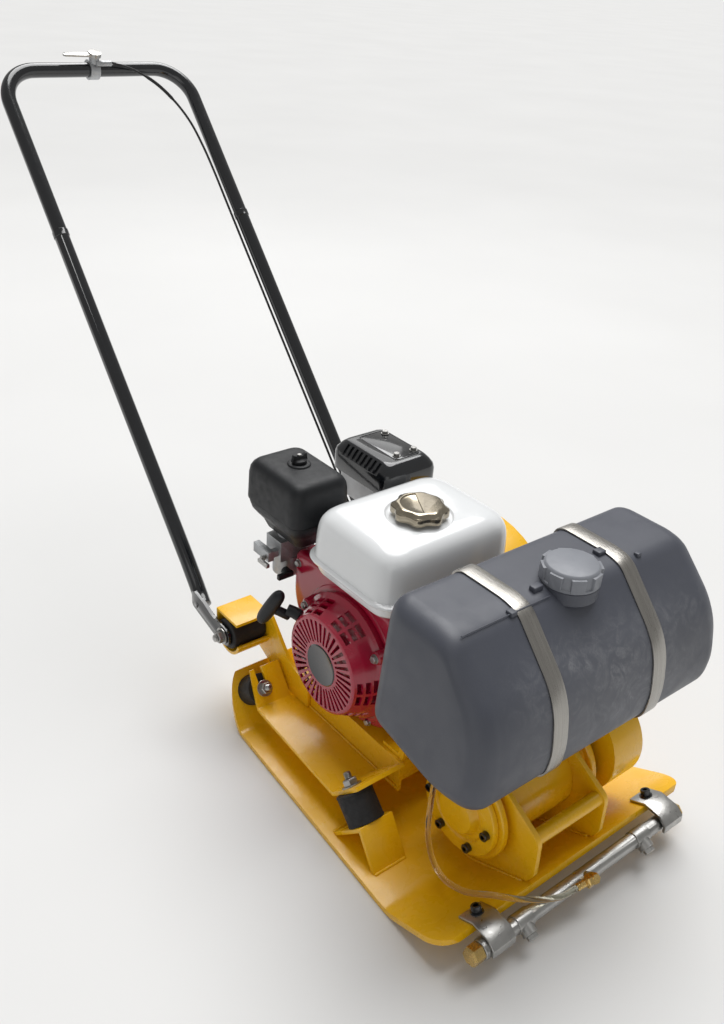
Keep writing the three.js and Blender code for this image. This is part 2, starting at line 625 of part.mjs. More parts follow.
function airCleaner() {
  const a = AIR;
  const rim = plan(a.left + 3, a.right - 3, a.front + 3, a.rear - 3, 18);
  const tray = prismZ(rim, a.bottom + 20, a.seam - GAP, 4);
  const throatPlan = plan(a.left + 18, a.right - 12, a.front + 60, a.rear - 12, 12);
  const throat = prismZ(throatPlan, a.bottom, a.bottom + 22, 5);
  add("air_cleaner_base", join(tray, throat), "blackPlastic");
  const shell = prismZ(plan(a.left, a.right, a.front, a.rear, 20), a.seam, a.top - 8, 5);
  const crown = prismZ(plan(a.left + 5, a.right - 5, a.front + 5, a.rear - 5, 16), a.top - 9, a.top, 5);
  const hollow = prismZ(plan(a.left + 4, a.right - 4, a.front + 4, a.rear - 4, 14), a.seam - 1, a.top - 14, 5);
  const boss = rod([AIR_KNOB.x, AIR_KNOB.y, a.top - 2], [AIR_KNOB.x, AIR_KNOB.y, a.top + 3], 17, 20);
  add("air_cleaner_cover", cut(join(shell, crown, boss), hollow), "blackPlastic");
  const disc = rod([0, 0, 0], [0, 0, 5], 11, 16);
  const wing = prismY(outline([[-13, 3], [-11, 15], [-3, 10], [3, 10], [11, 15], [13, 3]], 2), -3, 3);
  add("air_cleaner_knob", join(disc, wing).translate(AIR_KNOB.x, AIR_KNOB.y, a.top + 3.4), "blackPlastic");
}

function carburettor() {
  const bowl = rod([-112, 238, 268], [-112, 238, 300], 22, 20);
  const body = box(-138, -76, 218, 256, 298, 332);
  const throat = rod([-112, 236, 330], [-112, 236, AIR.bottom - GAP], 17, 16);
  const linkPlate = box(-160, -150, 218, 258, 306, 322);
  const bracket = box(-152, -136, 222, 232, 308, 318);
  add("carburettor", join(body, bowl, throat, linkPlate, bracket), "castAlloy");
  const lever = join(box(-168, -160.6, 225, 229, 306, 314), box(-172, -166, 205, 229, 306, 312));
  add("choke_lever", lever, "steel");
  const valve = join(rod([-130, 217.6, 282], [-130, 208, 282], 7, 12), box(-150, -124, 203, 209, 278, 286));
  add("fuel_valve_lever", valve, "blackPlastic");
}

function muffler() {
  const m = MUFFLER;
  const can = prismZ(plan(m.left + 8, m.right - 8, m.front + 8, m.rear - 8, 18), m.bottom, m.top - 22, 5);
  const stub = rod([60, 192, 335], [60, 192, m.bottom + 5], 15, 16);
  add("muffler", join(can, stub), "steel");
  const skin = prismZ(plan(m.left, m.right, m.front, m.rear, 18), m.top - 48, m.top - 7, 5);
  const lid = prismZ(plan(m.left + 6, m.right - 6, m.front + 6, m.rear - 6, 14), m.top - 8, m.top, 5);
  const hollow = prismZ(plan(m.left + 4, m.right - 4, m.front + 4, m.rear - 4, 15), m.top - 60, m.top - 14, 5);
  add("muffler_guard", cut(join(skin, lid), hollow), "blackPaint");
}

function recoilGrip() {
  const centre = new THREE.Vector3(-181, 179, 257);
  const pull = new THREE.Vector3(-0.70, 0.54, 0.46).normalize();
  const bar = new THREE.Vector3(0.21, -0.43, 0.87).normalize();
  const end = (t) => centre.clone().add(bar.clone().multiplyScalar(t)).toArray();
  const grip = rod(end(-37), end(37), 11, 12);
  const stem = rod(centre.clone().add(pull.clone().multiplyScalar(-32)).toArray(), centre.toArray(), 7.5, 12);
  add("recoil_grip", join(grip, stem), "blackPlastic");
}

// ---- water tank ----
function tankSection(inset) {
  const i = inset;
  return outline([
    [-106 - i, 457 - i, 22], [-104 - i, 292, 40], [-112 - i, 270 + i, 22], [-232, 246 + i, 30],
    [-292 + i, 256 + i, 34],
    [-299 + i, 300, 40], [-288 + i, 372, 60], [-214, 452 - i, 60], [-190, 457 - i, 10],
  ]);
}

// The tank is longer low down than along its top.
function flared(solid) {
  const [top, full] = [457, 300];
  return solid.warp((vertex) => {
    const low = Math.min(1, Math.max(0, (top - vertex[2]) / (top - full)));
    vertex[0] *= 1 + low * TANK.flare / TANK.half;
  });
}

function waterTank() {
  const t = TANK;
  const body = prismX(tankSection(0), -t.half + 14, t.half - 14, 5);
  const ends = [-1, 1].map((side) => prismX(tankSection(9), ...span(side, t.half - 15, t.half), 5));
  const collar = rod([t.capX, t.capY, 440], [t.capX, t.capY, 457.3], 37, 24);
  const neck = rod([t.capX, t.capY, 450], [t.capX, t.capY, 461], 26, 20);
  const vessel = toGeometry(flared(toSolid(join(body, ...ends))));
  add("water_tank", join(vessel, collar, neck), "greyTank");
  const socket = rod([t.capX, t.capY, 455], [t.capX, t.capY, 463], 26.6, 20);
  const lid = lobedCap(16, t.capRadius, 3, 19, 4).translate(t.capX, t.capY, 458);
  const rim = rod([t.capX, t.capY, 475], [t.capX, t.capY, 481], t.capRadius - 5, 20);
  add("water_cap", cut(join(lid, rim), socket), "greyCap");
}

function tankStraps() {
  const outer = tankSection(-2.4);
  const inner = tankSection(-0.4);
  [-1, 1].forEach((side) => {
    const name = side < 0 ? "left" : "right";
    const x = side < 0 ? -TANK.strapX : TANK.strapX - 8;
    const band = prismX(outer, x - TANK.strapWidth / 2, x + TANK.strapWidth / 2, 5);
    const hollow = prismX(inner, x - 40, x + 40, 5);
    const seat = box(x - 40, x + 40, -178, -90, 200, 275);
    add(`tank_strap_${name}`, cut(band, hollow, seat), "stainless");
  });
}

const HOSE = [
  [-130, -158, 231.8], [-130, -157, 218], [-135, -154, 198], [-141, -152, 160], [-147, -155, 115],
  [-157, -166, 84], [-169, -190, 67], [-177, -222, 63], [-171, -256, 67], [-152, -283, 74],
  [-128, -303, 70], [-95, -320, 62], [-68, -329, 57], [-50, -330, 54.5], [-38.6, -329.9, 53.4],
];

function waterHose() {
  const nut = rod([-130, -158, 258.7], [-130, -158, 240], 9, 16);
  const spout = rod([-130, -158, 242], [-130, -158, 232.4], 4.4, 12);
  const outlet = join(nut, spout);
  add("tank_outlet", outlet, "brass");
  add("water_hose", tube(HOSE, 4, 8, 36), "hose");
}

// ---- handle ----
const SLOPE = new THREE.Vector3(0, HANDLE.topY - HANDLE.footY, HANDLE.topZ - HANDLE.footZ).normalize();

function onLeg(side, drop, shiftX = 0) {
  const top = new THREE.Vector3(side * HANDLE.x + shiftX, HANDLE.topY, HANDLE.topZ);
  return top.addScaledVector(SLOPE, -drop).toArray();
}

function handleLeg(name, side) {
  const x = side * HANDLE.x;
  const top = onLeg(side, HANDLE.jointDrop + GAP);
  const route = [top, onLeg(side, 600), onLeg(side, 910), [x, 386, 163], [x + side * 4, 366, 152]];
  const shaft = tube(route, HANDLE.radius, 12, 14);
  const collarEnds = [HANDLE.jointDrop + GAP, HANDLE.jointDrop + 12].map((drop) => onLeg(side, drop));
  const collar = rod(...collarEnds, HANDLE.radius + 1, 12);
  const p = PIVOT;
  const eye = outline([
    [386, 176, 8], [386, 146, 8], [352, 137, 10], [318, 128, 8], [p.y + 4, p.z - 18, 10],
    [p.y - 18, p.z - 12, 10],
    [p.y - 18, p.z + 13, 10], [p.y + 6, p.z + 18, 12], [322, 158, 14], [350, 170, 12],
  ]);
  const plate = prismX(eye, ...span(side, 189.5, 195.5));
  const bolt = rodX(side * 185, side * 205, p.y, p.z, p.bolt + 0.4, 16);
  add(`handle_leg_${name}`, cut(join(shaft, collar, plate), bolt), "blackPaint");
}

function handleCrossbar() {
  const lean = SLOPE;
  const bend = HANDLE.bend;
  const corner = (side) => {
    return Array.from({ length: 5 }, (_, i) => {
      const angle = rad(90 * (i + 0.5) / 5);
      const across = HANDLE.x - bend * (1 - Math.sin(angle));
      const down = bend * (1 - Math.cos(angle));
      const point = new THREE.Vector3(side * across, HANDLE.topY, HANDLE.topZ);
      return point.addScaledVector(lean, -down).toArray();
    });
  };
  const left = corner(-1).reverse();
  const right = corner(1);
  const points = [
    onLeg(-1, HANDLE.jointDrop), onLeg(-1, 170), onLeg(-1, bend + 8), ...left,
    [-100, HANDLE.topY, HANDLE.topZ], [0, HANDLE.topY, HANDLE.topZ], [100, HANDLE.topY, HANDLE.topZ],
    ...right, onLeg(1, bend + 8), onLeg(1, 170), onLeg(1, HANDLE.jointDrop),
  ];
  add("handle_crossbar", tube(points, HANDLE.radius, 12, 36), "blackPaint");
}

function throttle() {
  const x = LEVER.x;
  const y = HANDLE.topY;
  const z = HANDLE.topZ;
  const section = [[13, x - 9], [17.5, x - 9], [17.5, x + 9], [13, x + 9], [13, x - 9]];
  const ring = turned(section, ALONG_X, [0, y, z], 20);
  const post = rod([x, y - 8, z + 13], [x, y - 12, z + 24], 9, 16);
  const bore = rodX(x - 20, x + 20, y, z, 13, 20);
  const guide = rodX(x + 8, x + 30, y - 16, z + 12, 5, 12);
  const arm = box(x, x + 12, y - 20, y - 8, z + 8, z + 16);
  add("throttle_clamp", cut(join(ring, post, guide, arm), bore), "castAlloy");
  const hubAxis = new THREE.Vector3(0, -0.35, 0.94);
  const hub = turned([[0, 0], [12, 0], [12, 7], [0, 7]], hubAxis, [x, y - 12.2, z + 24.6], 16);
  const blade = outline([[4, -8, 2], [-24, -7, 2], [-60, -4.5, 4], [-60, 4.5, 4], [-24, 7, 2], [4, 8, 2]]);
  const plate = prismZ(blade, 1, 4.5).rotateX(rad(LEVER.lean)).translate(x, y - 12.2, z + 24.6);
  add("throttle_lever", join(hub, plate), "castAlloy");
}

const CABLE = [
  [26, 1030, 893], [60, 1022, 884], [100, 1008, 862], [130, 990, 832], [150, 965, 797], [160, 935, 757],
  [163.8, 900, 715], [164.5, 860, 670], [164.5, 800, 605], [164.5, 700, 497], [164.5, 600, 389],
  [164.5, 500, 281], [164.5, 430, 205],
];

function throttleCable() {
  add("throttle_cable", tube(CABLE, 3, 8, 40), "rubber");
}

forBothSides((name, side) => {
  frontMountSeat(name, side);
  rubberMount(`rubber_mount_front_${name}`, FRONT_MOUNT, side, 1);
  rubberMount(`rubber_mount_rear_${name}`, REAR_MOUNT, side, -1);
  handleBracket(name, side);
  handleBush(name, side);
  handleLeg(name, side);
});
basePlate();
exciterHousing();
exciterCovers();
exciterBearings();
eccentricShaft();
braceRibs();
sprayBar();
sprayBrackets();
hoseBarb();
deckFrame();
tankCradle();
crankcase();
cylinderHead();
fanShroud();
recoilCover();
crankAssembly();
driveline();
driveBelt();
beltGuard();
fuelTank();
fuelCap();
airCleaner();
carburettor();
muffler();
recoilGrip();
waterTank();
tankStraps();
waterHose();
handleCrossbar();
throttle();
throttleCable();

export default group;
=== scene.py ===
import json
import math

import bmesh
import bpy
from mathutils import Matrix, Vector, noise

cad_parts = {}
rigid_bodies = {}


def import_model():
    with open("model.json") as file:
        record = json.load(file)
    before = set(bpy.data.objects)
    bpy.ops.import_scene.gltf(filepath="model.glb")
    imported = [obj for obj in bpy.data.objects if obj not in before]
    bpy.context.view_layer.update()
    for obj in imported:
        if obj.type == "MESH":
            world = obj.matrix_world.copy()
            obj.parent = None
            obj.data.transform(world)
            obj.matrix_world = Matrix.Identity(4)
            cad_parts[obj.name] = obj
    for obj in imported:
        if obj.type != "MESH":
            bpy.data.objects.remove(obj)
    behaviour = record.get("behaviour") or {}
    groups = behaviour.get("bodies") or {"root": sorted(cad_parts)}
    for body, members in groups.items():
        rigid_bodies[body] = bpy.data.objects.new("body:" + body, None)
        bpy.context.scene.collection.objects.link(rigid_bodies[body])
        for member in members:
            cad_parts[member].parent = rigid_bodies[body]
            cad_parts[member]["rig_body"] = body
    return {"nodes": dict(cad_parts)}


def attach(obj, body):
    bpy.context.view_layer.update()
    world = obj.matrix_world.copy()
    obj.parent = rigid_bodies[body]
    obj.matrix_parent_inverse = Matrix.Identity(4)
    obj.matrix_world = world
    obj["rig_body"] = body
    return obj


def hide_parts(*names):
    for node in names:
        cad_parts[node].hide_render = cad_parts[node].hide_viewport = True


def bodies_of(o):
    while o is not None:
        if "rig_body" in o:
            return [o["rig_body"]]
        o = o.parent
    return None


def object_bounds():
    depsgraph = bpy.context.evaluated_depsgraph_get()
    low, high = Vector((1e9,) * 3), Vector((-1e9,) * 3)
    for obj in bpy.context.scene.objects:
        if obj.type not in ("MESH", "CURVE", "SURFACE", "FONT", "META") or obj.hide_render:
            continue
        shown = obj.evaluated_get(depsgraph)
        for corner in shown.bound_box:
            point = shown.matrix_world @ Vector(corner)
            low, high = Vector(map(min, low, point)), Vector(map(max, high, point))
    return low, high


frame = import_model()
CAD_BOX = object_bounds()
NODES = frame["nodes"]

# Lengths below are millimetres in the row frame, and MM turns them into metres.
MM = 0.001
X_AXIS, Z_AXIS = Vector((1, 0, 0)), Vector((0, 0, 1))
SIDES = (("left", -1), ("right", 1))

# ---- camera ----
CAMERA_AT = (-0.8586, -0.8058, 1.1023)
CAMERA_YAW, CAMERA_PITCH, CAMERA_ROLL = (math.radians(a) for a in (-40.47, 29.56, 4.12))
CAMERA_LENS = 34.77


def make_camera():
    forward = Vector((
        -math.sin(CAMERA_YAW) * math.cos(CAMERA_PITCH),
        math.cos(CAMERA_YAW) * math.cos(CAMERA_PITCH),
        -math.sin(CAMERA_PITCH),
    ))
    level = Vector((math.cos(CAMERA_YAW), math.sin(CAMERA_YAW), 0))
    up = level.cross(forward)
    c, s = math.cos(CAMERA_ROLL), math.sin(CAMERA_ROLL)
    turn = Matrix((c * level + s * up, -s * level + c * up, -forward)).transposed()
    data = bpy.data.cameras.new("camera")
    data.lens = CAMERA_LENS
    data.clip_start = 0.02
    camera = bpy.data.objects.new("camera", data)
    camera.matrix_world = Matrix.Translation(CAMERA_AT) @ turn.to_4x4()
    bpy.context.collection.objects.link(camera)
    bpy.context.scene.camera = camera


make_camera()


# ---- mesh helpers ----
def rounded(points, radius=0, steps=6):
    """A closed 2-D outline through corner points, each corner eased by its own radius."""
    corners = [(Vector(p[:2]), p[2] if len(p) > 2 else radius) for p in points]
    out = []
    for i, (at, r) in enumerate(corners):
        back = corners[i - 1][0] - at
        on = corners[(i + 1) % len(corners)][0] - at
        ease = min(r, back.length / 2.02, on.length / 2.02)
        enter, leave = at + back.normalized() * ease, at + on.normalized() * ease
        if ease < 0.01:
            enter, leave = at + back.normalized() * 0.01, at + on.normalized() * 0.01
        for k in range(steps + 1):
            t = k / steps
            out.append((1 - t) ** 2 * enter + 2 * t * (1 - t) * at + t * t * leave)
    return out


def plan(x0, x1, y0, y1, radius, steps=8):
    return rounded([(x0, y0), (x1, y0), (x1, y1), (x0, y1)], radius, steps)


def loft(rings, loop=False):
    """A closed body through rings of points, with flat ends unless it loops."""
    bm = bmesh.new()
    rows = [[bm.verts.new(Vector(p) * MM) for p in ring] for ring in rings]
    pairs = list(zip(rows, rows[1:])) + ([(rows[-1], rows[0])] if loop else [])
    count = len(rows[0])
    for a, b in pairs:
        for i in range(count):
            j = (i + 1) % count
            bm.faces.new((a[i], a[j], b[j], b[i]))
    if not loop:
        bm.faces.new(rows[0][::-1])
        bm.faces.new(rows[-1])
    bmesh.ops.remove_doubles(bm, verts=bm.verts, dist=2e-6)
    bmesh.ops.recalc_face_normals(bm, faces=bm.faces)
    return bm


def prism(axis, outline, a, b):
    """An outline given in (y, z), (x, z) or (x, y), carried along x, y or z from a to b."""
    place = {
        "x": lambda p, d: (d, p[0], p[1]),
        "y": lambda p, d: (p[0], d, p[1]),
        "z": lambda p, d: (p[0], p[1], d),
    }[axis]
    return loft([[place(p, d) for p in outline] for d in (a, b)])


def box(x0, x1, y0, y1, z0, z1):
    return prism("z", [(x0, y0), (x1, y0), (x1, y1), (x0, y1)], z0, z1)


def across(axis):
    u = axis.orthogonal().normalized()
    return u, axis.cross(u).normalized()


def lathe(profile, axis, at, segments=48, phase=0.0):
    """A closed [radius, height] profile turned about an axis through a point."""
    axis, at = Vector(axis).normalized(), Vector(at)
    u, v = across(axis)
    rings = []
    for k in range(segments):
        angle = 2 * math.pi * k / segments + phase
        way = u * math.cos(angle) + v * math.sin(angle)
        rings.append([at + axis * h + way * r for r, h in profile])
    return loft(rings, loop=True)


def rod(start, end, radius, segments=32, chamfer=0.0):
    start, end = Vector(start), Vector(end)
    length, c = (end - start).length, chamfer
    profile = [(0, 0), (radius - c, 0), (radius, c), (radius, length - c), (radius - c, length), (0, length)]
    return lathe(profile if c else [profile[i] for i in (0, 1, 4, 5)], end - start, start, segments)


def curve(points, steps):
    """Points on a centripetal Catmull-Rom curve through the given ones."""
    p = [Vector(q) for q in points]
    p = [2 * p[0] - p[1], *p, 2 * p[-1] - p[-2]]
    out = []
    for a, b, c, d in zip(p, p[1:], p[2:], p[3:]):
        t1 = math.sqrt((b - a).length)
        t2 = t1 + math.sqrt((c - b).length)
        t3 = t2 + math.sqrt((d - c).length)
        for k in range(steps):
            t = t1 + (t2 - t1) * k / steps
            ab, bc = a.lerp(b, t / t1), b.lerp(c, (t - t1) / (t2 - t1))
            cd = c.lerp(d, (t - t2) / (t3 - t2))
            out.append(ab.lerp(bc, t / t2).lerp(bc.lerp(cd, (t - t1) / (t3 - t1)), (t - t1) / (t2 - t1)))
    return out + [p[-2]]


def sweep(path, radius, sides=20, shape=lambda i, angle: 1.0):
    """A tube along a line of points, its radius eased by shape(step, angle)."""
    path = [Vector(q) for q in path]
    normal, rings = None, []
    for i, at in enumerate(path):
        along = (path[min(i + 1, len(path) - 1)] - path[max(i - 1, 0)]).normalized()
        normal = across(along)[0] if normal is None else (normal - along * normal.dot(along)).normalized()
        side = along.cross(normal)
        turns = [2 * math.pi * k / sides for k in range(sides)]
        rings.append([at + (normal * math.cos(a) + side * math.sin(a)) * radius * shape(i, a) for a in turns])
    return loft(rings)


def merged(parts):
    whole = bmesh.new()
    for part in parts:
        mesh = bpy.data.meshes.new("part")
        part.to_mesh(mesh)
        part.free()
        whole.from_mesh(mesh)
        bpy.data.meshes.remove(mesh)
    return whole


def turned_by(bm, matrix):
    bmesh.ops.transform(bm, matrix=matrix, verts=bm.verts)
    return bm


def solid(base, operation, *tools):
    """base with the tools cut away, joined on, or kept in common."""
    objects = []
    for bm in (base, merged(tools) if operation != "UNION" else None):
        if bm is None:
            continue
        objects.append(temporary(bm))
    if operation == "UNION":
        objects += [temporary(bm) for bm in tools]
    target = objects[0]
    for tool in objects[1:]:
        modifier = target.modifiers.new("solid", "BOOLEAN")
        modifier.operation, modifier.object, modifier.solver = operation, tool, "MANIFOLD"
    evaluated = target.evaluated_get(bpy.context.evaluated_depsgraph_get())
    mesh = bpy.data.meshes.new_from_object(evaluated)
    result = bmesh.new()
    result.from_mesh(mesh)
    bpy.data.meshes.remove(mesh)
    for obj in objects:
        data = obj.data
        bpy.data.objects.remove(obj)
        bpy.data.meshes.remove(data)
    if not result.faces:
        raise RuntimeError("a cut left nothing")
    bmesh.ops.dissolve_limit(result, angle_limit=math.radians(0.5), verts=result.verts, edges=result.edges)
    return result


def temporary(bm):
    mesh = bpy.data.meshes.new("temporary")
    bm.to_mesh(mesh)
    bm.free()
    obj = bpy.data.objects.new("temporary", mesh)
    bpy.context.collection.objects.link(obj)
    return obj


def cut(base, *tools):
    return solid(base, "DIFFERENCE", *tools)


def join(base, *tools):
    return solid(base, "UNION", *tools)


def common(base, tool):
    return solid(base, "INTERSECT", tool)


def cad(node):
    """A copy of a CAD node's mesh, with its flat faces made whole."""
    bm = bmesh.new()
    bm.from_mesh(NODES[node].data)
    bmesh.ops.remove_doubles(bm, verts=bm.verts, dist=2e-6)
    bmesh.ops.dissolve_limit(bm, angle_limit=math.radians(0.8), verts=bm.verts, edges=bm.edges)
    return bm


def body_of(node):
    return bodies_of(NODES[node])[0]


def piece(name, bm, slot, nodes=(), body=None, bevel=0.0, segments=2, bevel_angle=35, smooth=38):
    """A finished object: material, eased edges, its body and the CAD nodes it stands for."""
    nodes = (nodes,) if isinstance(nodes, str) else nodes
    mesh = bpy.data.meshes.new(name)
    bm.to_mesh(mesh)
    bm.free()
    obj = bpy.data.objects.new(name, mesh)
    bpy.context.collection.objects.link(obj)
    mesh.materials.append(MATERIALS[slot])
    if bevel:
        modifier = obj.modifiers.new("bevel", "BEVEL")
        modifier.width, modifier.segments = bevel * MM, segments
        modifier.limit_method, modifier.angle_limit = "ANGLE", math.radians(bevel_angle)
        modifier.use_clamp_overlap = True
        modifier.harden_normals = False
        finished = bpy.data.meshes.new_from_object(obj.evaluated_get(bpy.context.evaluated_depsgraph_get()))
        obj.modifiers.clear()
        obj.data = finished
        bpy.data.meshes.remove(mesh)
        mesh = finished
        mesh.name = name
    mesh.shade_smooth()
    mesh.set_sharp_from_angle(angle=math.radians(smooth))
    if nodes:
        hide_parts(*nodes)
    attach(obj, body or body_of(nodes[0]))
    return obj


def carried(*rows):
    for name, node_name, slot, bevel in rows:
        piece(name, cad(node_name), slot, node_name, bevel=bevel)


# ---- materials ----
def node(tree, kind, **values):
    made = tree.nodes.new(kind)
    for key, value in values.items():
        if hasattr(made, key):
            setattr(made, key, value)
        else:
            made.inputs[key].default_value = value
    return made


def noise_of(tree, scale, detail=3.0, distortion=0.0, stretch=None):
    place = node(tree, "ShaderNodeTexCoord")
    texture = node(tree, "ShaderNodeTexNoise")
    texture.inputs["Scale"].default_value = scale
    texture.inputs["Detail"].default_value = detail
    texture.inputs["Distortion"].default_value = distortion
    source = place.outputs["Object"]
    if stretch:
        mapping = node(tree, "ShaderNodeMapping")
        mapping.inputs["Scale"].default_value = stretch
        tree.links.new(source, mapping.inputs["Vector"])
        source = mapping.outputs["Vector"]
    tree.links.new(source, texture.inputs["Vector"])
    return texture.outputs["Fac"]


def ranged(tree, source, low, high, start=0.3, end=0.7):
    made = node(tree, "ShaderNodeMapRange")
    for key, value in (("From Min", start), ("From Max", end), ("To Min", low), ("To Max", high)):
        made.inputs[key].default_value = value
    tree.links.new(source, made.inputs["Value"])
    return made.outputs["Result"]


def mixed(tree, factor, first, second):
    made = node(tree, "ShaderNodeMix", data_type="RGBA")
    for socket, value in (("A_Color", first), ("B_Color", second), ("Factor_Float", factor)):
        target = next(s for s in made.inputs if s.identifier == socket)
        if isinstance(value, bpy.types.NodeSocket):
            tree.links.new(value, target)
        else:
            target.default_value = (*value, 1) if len(value) == 3 else value
    return next(s for s in made.outputs if s.identifier == "Result_Color")


def calculated(tree, operation, a, b):
    made = node(tree, "ShaderNodeMath", operation=operation)
    for socket, value in zip(made.inputs, (a, b)):
        if isinstance(value, bpy.types.NodeSocket):
            tree.links.new(value, socket)
        else:
            socket.default_value = value
    return made.outputs[0]


def shade(colour, by):
    return tuple(min(1.0, c * by) for c in colour)


def finish(name, colour, rough, metal=0.0, patches=9, tone=0.07, grain=600, depth=0.05, stretch=None,
    **sockets):
    """A painted, cast or moulded surface: slow colour patches, uneven gloss and a fine grain."""
    material = bpy.data.materials.new(name)
    material.use_nodes = True
    tree = material.node_tree
    shader = tree.nodes["Principled BSDF"]
    slow = noise_of(tree, patches, 4.0, stretch=stretch)
    base = mixed(tree, ranged(tree, slow, 0.0, 1.0), shade(colour, 1 - tone), shade(colour, 1 + tone))
    tree.links.new(base, shader.inputs["Base Color"])
    gloss = ranged(tree, noise_of(tree, patches * 6, 5.0, 0.4, stretch), rough * 0.82, rough * 1.25)
    tree.links.new(gloss, shader.inputs["Roughness"])
    bump = node(tree, "ShaderNodeBump")
    bump.inputs["Strength"].default_value = depth
    bump.inputs["Distance"].default_value = MM
    tree.links.new(noise_of(tree, grain, 2.0, stretch=stretch), bump.inputs["Height"])
    tree.links.new(bump.outputs["Normal"], shader.inputs["Normal"])
    shader.inputs["Metallic"].default_value = metal
    for key, value in sockets.items():
        shader.inputs[key.replace("_", " ")].default_value = value
    MATERIALS[name] = material
    return tree, shader, base, gloss


MATERIALS = {}
GREY_TANK = (0.062, 0.067, 0.085)


def between(tree, value, low, high, soft):
    """1 where the value is between low and high, fading to 0 outside."""
    rise = ranged(tree, value, 0.0, 1.0, low - soft, low + soft)
    fall = ranged(tree, value, 1.0, 0.0, high - soft, high + soft)
    return calculated(tree, "MULTIPLY", rise, fall)


def scuffed_tank():
    """Moulded grey with pale swirling rub marks on its front face between the straps."""
    tree, shader, base, gloss = finish(
        "grey_tank_plastic", GREY_TANK, 0.42, patches=5, tone=0.10, grain=900, depth=0.10,
        Specular_IOR_Level=0.5)
    place = node(tree, "ShaderNodeTexCoord")
    split = node(tree, "ShaderNodeSeparateXYZ")
    tree.links.new(place.outputs["Object"], split.inputs[0])
    front = ranged(tree, split.outputs["Y"], 1.0, 0.0, -0.262, -0.232)
    along = between(tree, split.outputs["X"], -0.13, 0.17, 0.06)
    tall = between(tree, split.outputs["Z"], 0.272, 0.42, 0.03)
    zone = calculated(tree, "MULTIPLY", front, calculated(tree, "MULTIPLY", along, tall))
    swirl = ranged(tree, noise_of(tree, 34, 6.0, 2.6), 0.0, 1.0, 0.42, 0.68)
    fine = ranged(tree, noise_of(tree, 260, 3.0, 1.8, (1.0, 1.0, 0.35)), 0.25, 1.0, 0.35, 0.65)
    broad = ranged(tree, noise_of(tree, 9, 2.0, 0.6), 0.35, 1.0, 0.35, 0.6)
    marks = calculated(tree, "MULTIPLY", calculated(tree, "MULTIPLY", swirl, fine), broad)
    rubbed = calculated(tree, "MULTIPLY", zone, calculated(tree, "ADD",
        calculated(tree, "MULTIPLY", marks, 0.75), 0.2))
    colour = mixed(tree, rubbed, base, (0.20, 0.205, 0.22))
    tree.links.new(colour, shader.inputs["Base Color"])
    tree.links.new(calculated(tree, "ADD", gloss, calculated(tree, "MULTIPLY", rubbed, 0.2)),
        shader.inputs["Roughness"])


finish("yellow_paint", (0.84, 0.46, 0.003), 0.27, patches=7, tone=0.035, grain=420, depth=0.16,
       Coat_Weight=0.25, Coat_Roughness=0.12, Specular_IOR_Level=0.5)
finish("red_paint", (0.36, 0.004, 0.030), 0.22, patches=10, tone=0.06, grain=500, depth=0.06,
       Coat_Weight=0.5, Coat_Roughness=0.06)
finish("white_paint", (0.76, 0.775, 0.785), 0.2, patches=6, tone=0.02, grain=400, depth=0.05,
       Coat_Weight=0.5, Coat_Roughness=0.05)
finish("black_paint", (0.006, 0.007, 0.009), 0.13, patches=16, tone=0.2, grain=500, depth=0.08,
       Coat_Weight=0.6, Coat_Roughness=0.05)
finish("black_plastic", (0.008, 0.009, 0.011), 0.42, patches=14, tone=0.15, grain=1400, depth=0.35,
       Specular_IOR_Level=0.35)
finish("black_rubber", (0.010, 0.010, 0.011), 0.62, patches=20, tone=0.25, grain=900, depth=0.5)
scuffed_tank()
finish("grey_cap_plastic", (0.205, 0.215, 0.24), 0.40, patches=18, tone=0.08, grain=900, depth=0.15)
finish("zinc_plate", (0.42, 0.415, 0.40), 0.32, 1.0, patches=28, tone=0.16, grain=700, depth=0.16)
finish("stainless_strap", (0.36, 0.345, 0.32), 0.30, 1.0, patches=60, tone=0.10, grain=500, depth=0.16,
       stretch=(6.0, 0.12, 0.12))
finish("cast_alloy", (0.42, 0.43, 0.44), 0.45, 0.9, patches=26, tone=0.15, grain=520, depth=0.5)
finish("nickel_plate", (0.37, 0.325, 0.25), 0.17, 1.0, patches=30, tone=0.12, grain=600, depth=0.05)
finish("brass_fitting", (0.62, 0.43, 0.16), 0.27, 1.0, patches=40, tone=0.16, grain=700, depth=0.12)
finish("machined_steel", (0.33, 0.33, 0.335), 0.34, 1.0, patches=30, tone=0.15, grain=800, depth=0.2)
finish("clear_hose", (0.88, 0.86, 0.72), 0.07, patches=20, tone=0.05, grain=300, depth=0.04,
       Transmission_Weight=1.0, IOR=1.42)

# ---- cords ----
HOSE_RADIUS = 4
HOSE = [
    (-130, -158, 231.8), (-130, -157, 218), (-135, -154, 198), (-141, -152, 160), (-147, -155, 115),
    (-157, -166, 84), (-169, -190, 67), (-177, -222, 63), (-171, -256, 67), (-152, -283, 74),
    (-128, -303, 70), (-95, -320, 62), (-68, -329, 57), (-50, -330, 54.5), (-38.6, -329.9, 53.4),
]
CABLE_RADIUS = 3
CABLE = [
    (26, 1030, 893), (60, 1022, 884), (100, 1008, 862), (130, 990, 832), (150, 965, 797), (160, 935, 757),
    (163.8, 900, 715), (164.5, 860, 670), (164.5, 800, 605), (164.5, 700, 497), (164.5, 600, 389),
    (164.5, 500, 281), (164.5, 430, 205),
]


def water_hose():
    path = curve(HOSE, 8)
    hose = piece("water_hose_clear", sweep(path, HOSE_RADIUS, 20), "clear_hose", "water_hose")


def throttle_cable():
    path = curve(CABLE, 8)
    sleeve = range(14, 24)

    def swell(i, angle):
        return 1.0 if i in sleeve else 0.72

    piece("throttle_cable_sheath", sweep(path, CABLE_RADIUS, 14, swell), "black_rubber", "throttle_cable")


water_hose()
throttle_cable()


